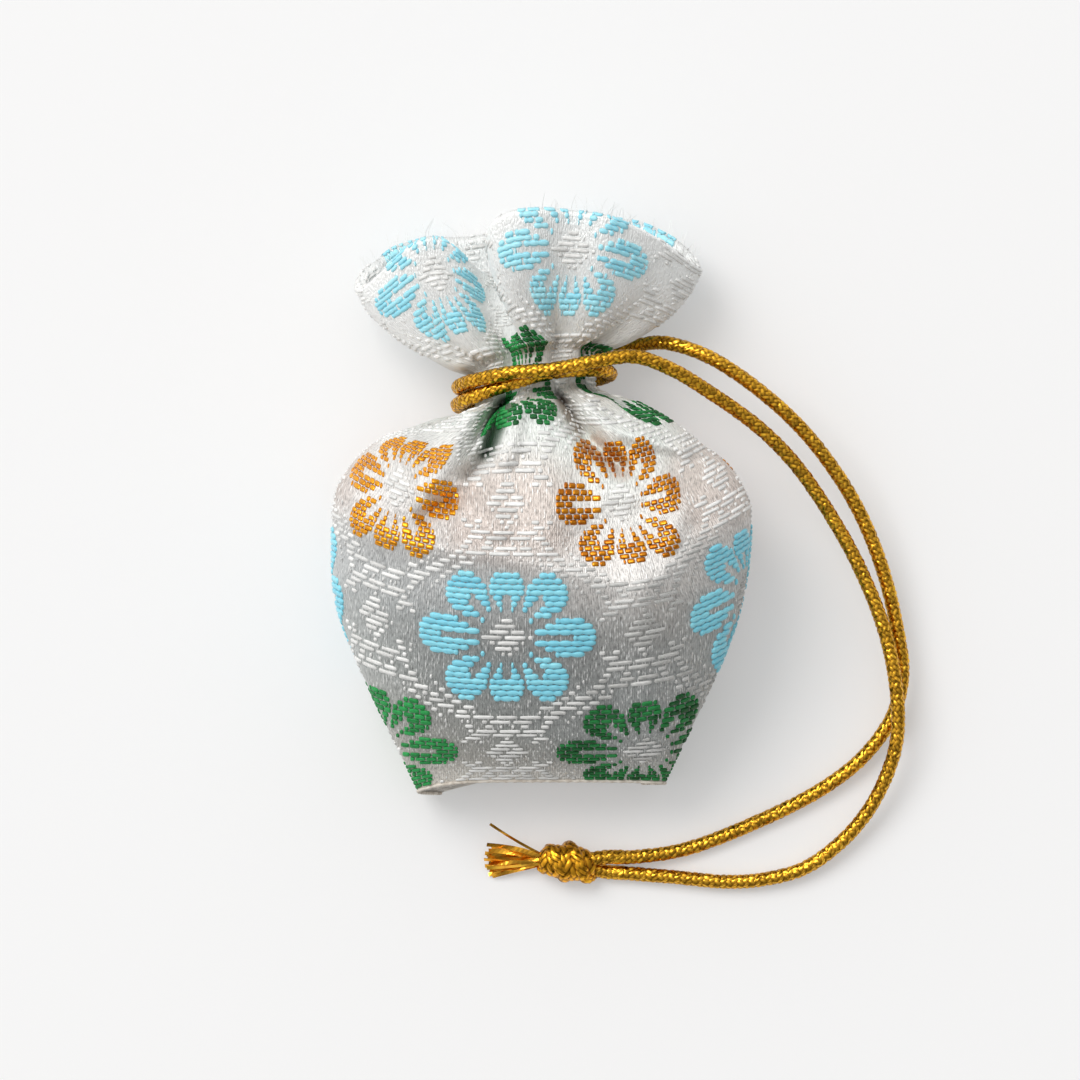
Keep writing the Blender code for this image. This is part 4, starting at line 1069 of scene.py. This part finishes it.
def on_cloth(u, v, lift):
    """Places on the bag for places on the flat cloth in millimetres, lifted off it in metres."""
    column = ((u - CLOTH_SHIFT) / CLOTH_ROUND + 0.5) * COLUMNS
    row = np.interp(v, surface_cloth, np.arange(rings))
    c0 = np.floor(column).astype(int)
    r0 = np.clip(np.floor(row).astype(int), 0, rings - 2)
    fc = (column - c0)[..., None]
    fr = (row - r0)[..., None]
    c1 = (c0 + 1) % COLUMNS
    c0 = c0 % COLUMNS

    def blend(grid):
        low = grid[r0, c0] * (1 - fc) + grid[r0, c1] * fc
        high = grid[r0 + 1, c0] * (1 - fc) + grid[r0 + 1, c1] * fc
        return low * (1 - fr) + high * fr

    return blend(surface) + blend(surface_normal) * lift[..., None]


def float_yarns(name, runs, wide, thick, pinch, tie, gap, bright):
    """Closed lengths of flattened yarn lying on the bag, nipped in where each warp thread ties them."""
    points = []
    faces = []
    tones = []
    sides = np.radians([0, 60, 120, 180, 240, 300])
    for start, end, v, pick in runs:
        phase = (pick % 2) / 2 * tie
        ties = [u for u in np.arange(math.floor(start / tie) * tie + phase - tie, end, tie)
                if start + 0.4 < u < end - 0.4]
        marks = [start + gap / 2, *ties, end - gap / 2]
        spots = [(marks[0] + 0.05, pinch)]
        for a, b in zip(marks, marks[1:]):
            spots.append((a + (b - a) * 0.28, 1.0))
            spots.append((a + (b - a) * 0.72, 1.0))
            spots.append((b, pinch))
        spots[-1] = (marks[-1] - 0.05, pinch)
        fat = dice.uniform(0.93, 1.06)
        base = len(tones)
        for u, girth in spots:
            points.append((u, v, 0.0, girth * fat))
        tones.append((base, len(spots), dice.uniform(0, 1)))
        faces.append(len(spots))
    spots = np.array(points)
    count = np.array(faces)
    rows = len(spots)
    u = np.repeat(spots[:, 0:1], 6, axis=1)
    v = spots[:, 1:2] + wide * spots[:, 3:4] * np.cos(sides)[None]
    lift = (0.03 + thick * spots[:, 3:4] * np.sin(sides)[None]) / 1000
    body = on_cloth(u, v, lift)
    first = np.concatenate([[0], np.cumsum(count)[:-1]])
    last = first + count - 1
    tip_u = np.concatenate([spots[first, 0] - 0.07, spots[last, 0] + 0.07])
    tip_v = np.concatenate([spots[first, 1], spots[last, 1]])
    tips = on_cloth(tip_u, tip_v, np.full(len(tip_u), 0.00001))
    everything = np.concatenate([body.reshape(-1, 3), tips])
    inside = np.ones(rows, dtype=bool)
    inside[last] = False
    here = np.flatnonzero(inside)
    k = np.arange(6)
    after = (k + 1) % 6
    quads = np.stack([here[:, None] * 6 + k, (here[:, None] + 1) * 6 + k,
                      (here[:, None] + 1) * 6 + after, here[:, None] * 6 + after], axis=-1).reshape(-1, 4)
    number = np.arange(len(count))
    head = np.stack([first[:, None] * 6 + k, first[:, None] * 6 + after,
                     np.repeat(rows * 6 + number[:, None], 6, axis=1)], axis=-1).reshape(-1, 3)
    tail = np.stack([last[:, None] * 6 + after, last[:, None] * 6 + k,
                     np.repeat(rows * 6 + len(count) + number[:, None], 6, axis=1)], axis=-1).reshape(-1, 3)
    mesh = bpy.data.meshes.new(name)
    mesh.from_pydata(everything.tolist(), [], quads.tolist() + head.tolist() + tail.tolist())
    shade = dice.uniform(0, 1, len(count))
    # Half of each float's tone is painted light, set by where the float lies.
    shade = shade * 0.5 + 0.5 * bright(spots[first, 0], spots[first, 1])
    tone = mesh.attributes.new("tone", "FLOAT", "POINT")
    tones = np.concatenate([np.repeat(shade, count * 6), shade, shade])
    tone.data.foreach_set("value", tones.astype(np.float32))
    mesh.polygons.foreach_set("use_smooth", [True] * len(mesh.polygons))
    mesh.update()
    obj = bpy.data.objects.new(name, mesh)
    scene.collection.objects.link(obj)
    return obj


def yarn(name, dark, light, roughness, metallic, sheen, bump):
    """Dyed yarn: each float a little lighter or darker, at random and, on the figure's wefts, by painted light
    given by place, with fine filaments along it.
    """
    material = bpy.data.materials.new(name)
    material.use_nodes = True
    nodes = material.node_tree.nodes
    links = material.node_tree.links
    shader = nodes["Principled BSDF"]
    shader.inputs["Roughness"].default_value = roughness
    shader.inputs["Metallic"].default_value = metallic
    shader.inputs["Sheen Weight"].default_value = sheen
    shader.inputs["Sheen Roughness"].default_value = 0.35
    tone = nodes.new("ShaderNodeAttribute")
    tone.attribute_name = "tone"
    place = nodes.new("ShaderNodeTexCoord")
    filaments = nodes.new("ShaderNodeTexNoise")
    filaments.inputs["Scale"].default_value = 7000.0
    filaments.inputs["Detail"].default_value = 1.0
    stretched = nodes.new("ShaderNodeMapping")
    stretched.inputs["Scale"].default_value = (0.22, 1.0, 1.0)
    links.new(place.outputs["Object"], stretched.inputs["Vector"])
    links.new(stretched.outputs["Vector"], filaments.inputs["Vector"])
    mixed = nodes.new("ShaderNodeMath")
    mixed.operation = "MULTIPLY_ADD"
    mixed.inputs[1].default_value = 0.5
    links.new(filaments.outputs["Fac"], mixed.inputs[0])
    halved = nodes.new("ShaderNodeMath")
    halved.operation = "MULTIPLY"
    halved.inputs[1].default_value = 0.5
    links.new(tone.outputs["Fac"], halved.inputs[0])
    links.new(halved.outputs["Value"], mixed.inputs[2])
    dye = nodes.new("ShaderNodeValToRGB")
    dye.color_ramp.elements[0].position = 0.2
    dye.color_ramp.elements[0].color = (*dark, 1)
    dye.color_ramp.elements[1].position = 0.8
    dye.color_ramp.elements[1].color = (*light, 1)
    links.new(mixed.outputs["Value"], dye.inputs["Fac"])
    links.new(dye.outputs["Color"], shader.inputs["Base Color"])
    raised = nodes.new("ShaderNodeBump")
    raised.inputs["Strength"].default_value = bump
    raised.inputs["Distance"].default_value = 0.00005
    links.new(filaments.outputs["Fac"], raised.inputs["Height"])
    links.new(raised.outputs["Normal"], shader.inputs["Normal"])
    return material


dyes = {
    "green": yarn("green_yarn", (0.003, 0.050, 0.010), (0.035, 0.40, 0.10), 0.50, 0.0, 0.0, 0.5),
    "blue": yarn("blue_yarn", (0.16, 0.59, 0.77), (0.37, 0.86, 0.96), 0.45, 0.0, 0.2, 0.5),
    "gold": yarn("gold_yarn", (0.44, 0.115, 0.002), (1.0, 0.46, 0.02), 0.27, 0.75, 0.0, 0.3),
    "white": yarn("white_yarn", (0.40, 0.40, 0.385), (0.96, 0.96, 0.94), 0.45, 0.0, 0.3, 0.4),
}
dyes["green"].node_tree.nodes["Principled BSDF"].inputs["Specular IOR Level"].default_value = 0.25
# Half width, half thickness, how far each tie nips the yarn in, how often it is tied, gap at its ends.
SHAPES = {
    "green": (0.31, 0.14, 0.85, 3.0, 0.10),
    "blue": (0.345, 0.20, 0.60, 1.25, 0.04),
    "ruffle": (0.335, 0.17, 0.66, 1.10, 0.20),
    "gold": (0.30, 0.11, 0.90, 3.0, 0.16),
    "white": (0.23, 0.13, 0.82, 3.0, 0.30),
}
# How much painted light each weft gets from place to place, 0 to 1: the metal and green are painted duller on
# the right, away from the lamp, and the white is painted duller below the shoulder on the right, where the
# cloth faces away from the lamp.
PAINTED_LIGHT_BY_PLACE = {
    "green": lambda u, v: (u < 0) * 1.0,
    "blue": lambda u, v: 0.5,
    "ruffle": lambda u, v: 0.5,
    "gold": lambda u, v: (u < 0) * 1.0,
    "white": lambda u, v: 1 - smooth_step(0, 12, u) * smooth_step(33, 28, v),
}
# The blue yarn on the ruffle is painted paler, as light shines through the thin cloth.
dyes["ruffle"] = yarn("ruffle_blue_painted_light_yarn", (0.22, 0.66, 0.82), (0.50, 0.90, 0.97), 0.45, 0.0, 0.3, 0.5)
lengths = {kind: {f"{kind}_wefts": floats[kind]} for kind in ("green", "blue", "ruffle", "gold")}
lengths["white"] = {
    "white_wefts_low": [run for run in floats["white"] if run[2] < 33],
    "white_wefts_high": [run for run in floats["white"] if run[2] >= 33],
}
for kind, named in lengths.items():
    for name, runs in named.items():
        wefts = float_yarns(name, runs, *SHAPES[kind], PAINTED_LIGHT_BY_PLACE[kind])
        wefts.data.materials.append(dyes[kind])
        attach(wefts, "root")

# The seam of the base: the square base is sewn in from inside, and the turned edge of the brocade shows
# all round it as a thin roll, ribbed by its stitches. It is made as one tube of cream thread along the
# bag's lowest ring, and is fixed to the cloth.
seam_ring = outer[0]
seam_out = facing(outer)[0]
seam_along = np.roll(seam_ring, -1, 0) - np.roll(seam_ring, 1, 0)
seam_along /= np.linalg.norm(seam_along, axis=1)[:, None] + 1e-12
seam_down = np.cross(seam_along, seam_out)
seam_ribs = 0.00026 * (0.86 + 0.14 * np.cos(np.arange(COLUMNS) * 2 * math.pi / 3))
seam_turns = np.radians([0, 60, 120, 180, 240, 300])
seam_points = (seam_ring[:, None] + seam_out[:, None] * (seam_ribs[:, None] * np.cos(seam_turns))[:, :, None]
               + seam_down[:, None] * (seam_ribs[:, None] * np.sin(seam_turns))[:, :, None])
place, turn = np.meshgrid(np.arange(COLUMNS), np.arange(6), indexing="ij")
seam_quads = np.stack([place * 6 + turn, place * 6 + (turn + 1) % 6,
                       (place + 1) % COLUMNS * 6 + (turn + 1) % 6, (place + 1) % COLUMNS * 6 + turn],
                      axis=-1).reshape(-1, 4)
seam_mesh = bpy.data.meshes.new("base_seam")
seam_mesh.from_pydata(seam_points.reshape(-1, 3).tolist(), [], seam_quads.tolist())
seam_mesh.polygons.foreach_set("use_smooth", [True] * len(seam_mesh.polygons))
seam_mesh.update()
base_seam = bpy.data.objects.new("base_seam", seam_mesh)
scene.collection.objects.link(base_seam)
seam_tone = seam_mesh.attributes.new("tone", "FLOAT", "POINT")
seam_tone.data.foreach_set("value", np.repeat(dice.uniform(0, 1, COLUMNS), 6).astype(np.float32))
seam_mesh.materials.append(yarn("cream_thread", (0.55, 0.48, 0.40), (0.90, 0.84, 0.75), 0.55, 0.0, 0.2, 0.4))
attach(base_seam, "root")

# Frayed filaments at the mouth: single ends of the white warp have slipped out of the hem and stand off
# it by a millimetre or so. Each is a thin bent hair of silk, held by the weave at its root.
hair_points = []
hair_faces = []
hair_tones = []
hair_dice = np.random.default_rng(21)
hem_along = np.roll(hem, -1, 0) - np.roll(hem, 1, 0)
hem_along /= np.linalg.norm(hem_along, axis=1)[:, None] + 1e-12
for column in hair_dice.integers(0, COLUMNS, 150):
    reach = hair_dice.uniform(0.0005, 0.0019)
    lean = hem_along[column] * hair_dice.normal(0, 0.9) + np.array([0, 0, hair_dice.normal(0, 0.35)])
    start = hem[column] - outward[column] * 0.0005
    base = len(hair_points)
    for step in range(5):
        t = step / 4
        centre = start + outward[column] * (0.0005 + reach) * t + lean * reach * 0.6 * t * t
        centre[2] = max(centre[2], 0.0002)
        girth = 0.000035 * (1 - 0.5 * t)
        for k in range(3):
            swing = 2 * math.pi * k / 3
            around = hem_along[column] * math.cos(swing) + np.array([0, 0, math.sin(swing)])
            hair_points.append(centre + girth * around)
            hair_tones.append(0.8)
        if step:
            for k in range(3):
                hair_faces.append((base + (step - 1) * 3 + k, base + (step - 1) * 3 + (k + 1) % 3,
                                   base + step * 3 + (k + 1) % 3, base + step * 3 + k))
    hair_faces.append((base + 2, base + 1, base))
    hair_faces.append((base + 12, base + 13, base + 14))
hair_mesh = bpy.data.meshes.new("hem_filaments")
hair_mesh.from_pydata([tuple(p) for p in hair_points], [], hair_faces)
hair_tone = hair_mesh.attributes.new("tone", "FLOAT", "POINT")
hair_tone.data.foreach_set("value", np.array(hair_tones, dtype=np.float32))
filaments = bpy.data.objects.new("hem_filaments", hair_mesh)
scene.collection.objects.link(filaments)
hair_mesh.materials.append(dyes["white"])
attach(filaments, "root")
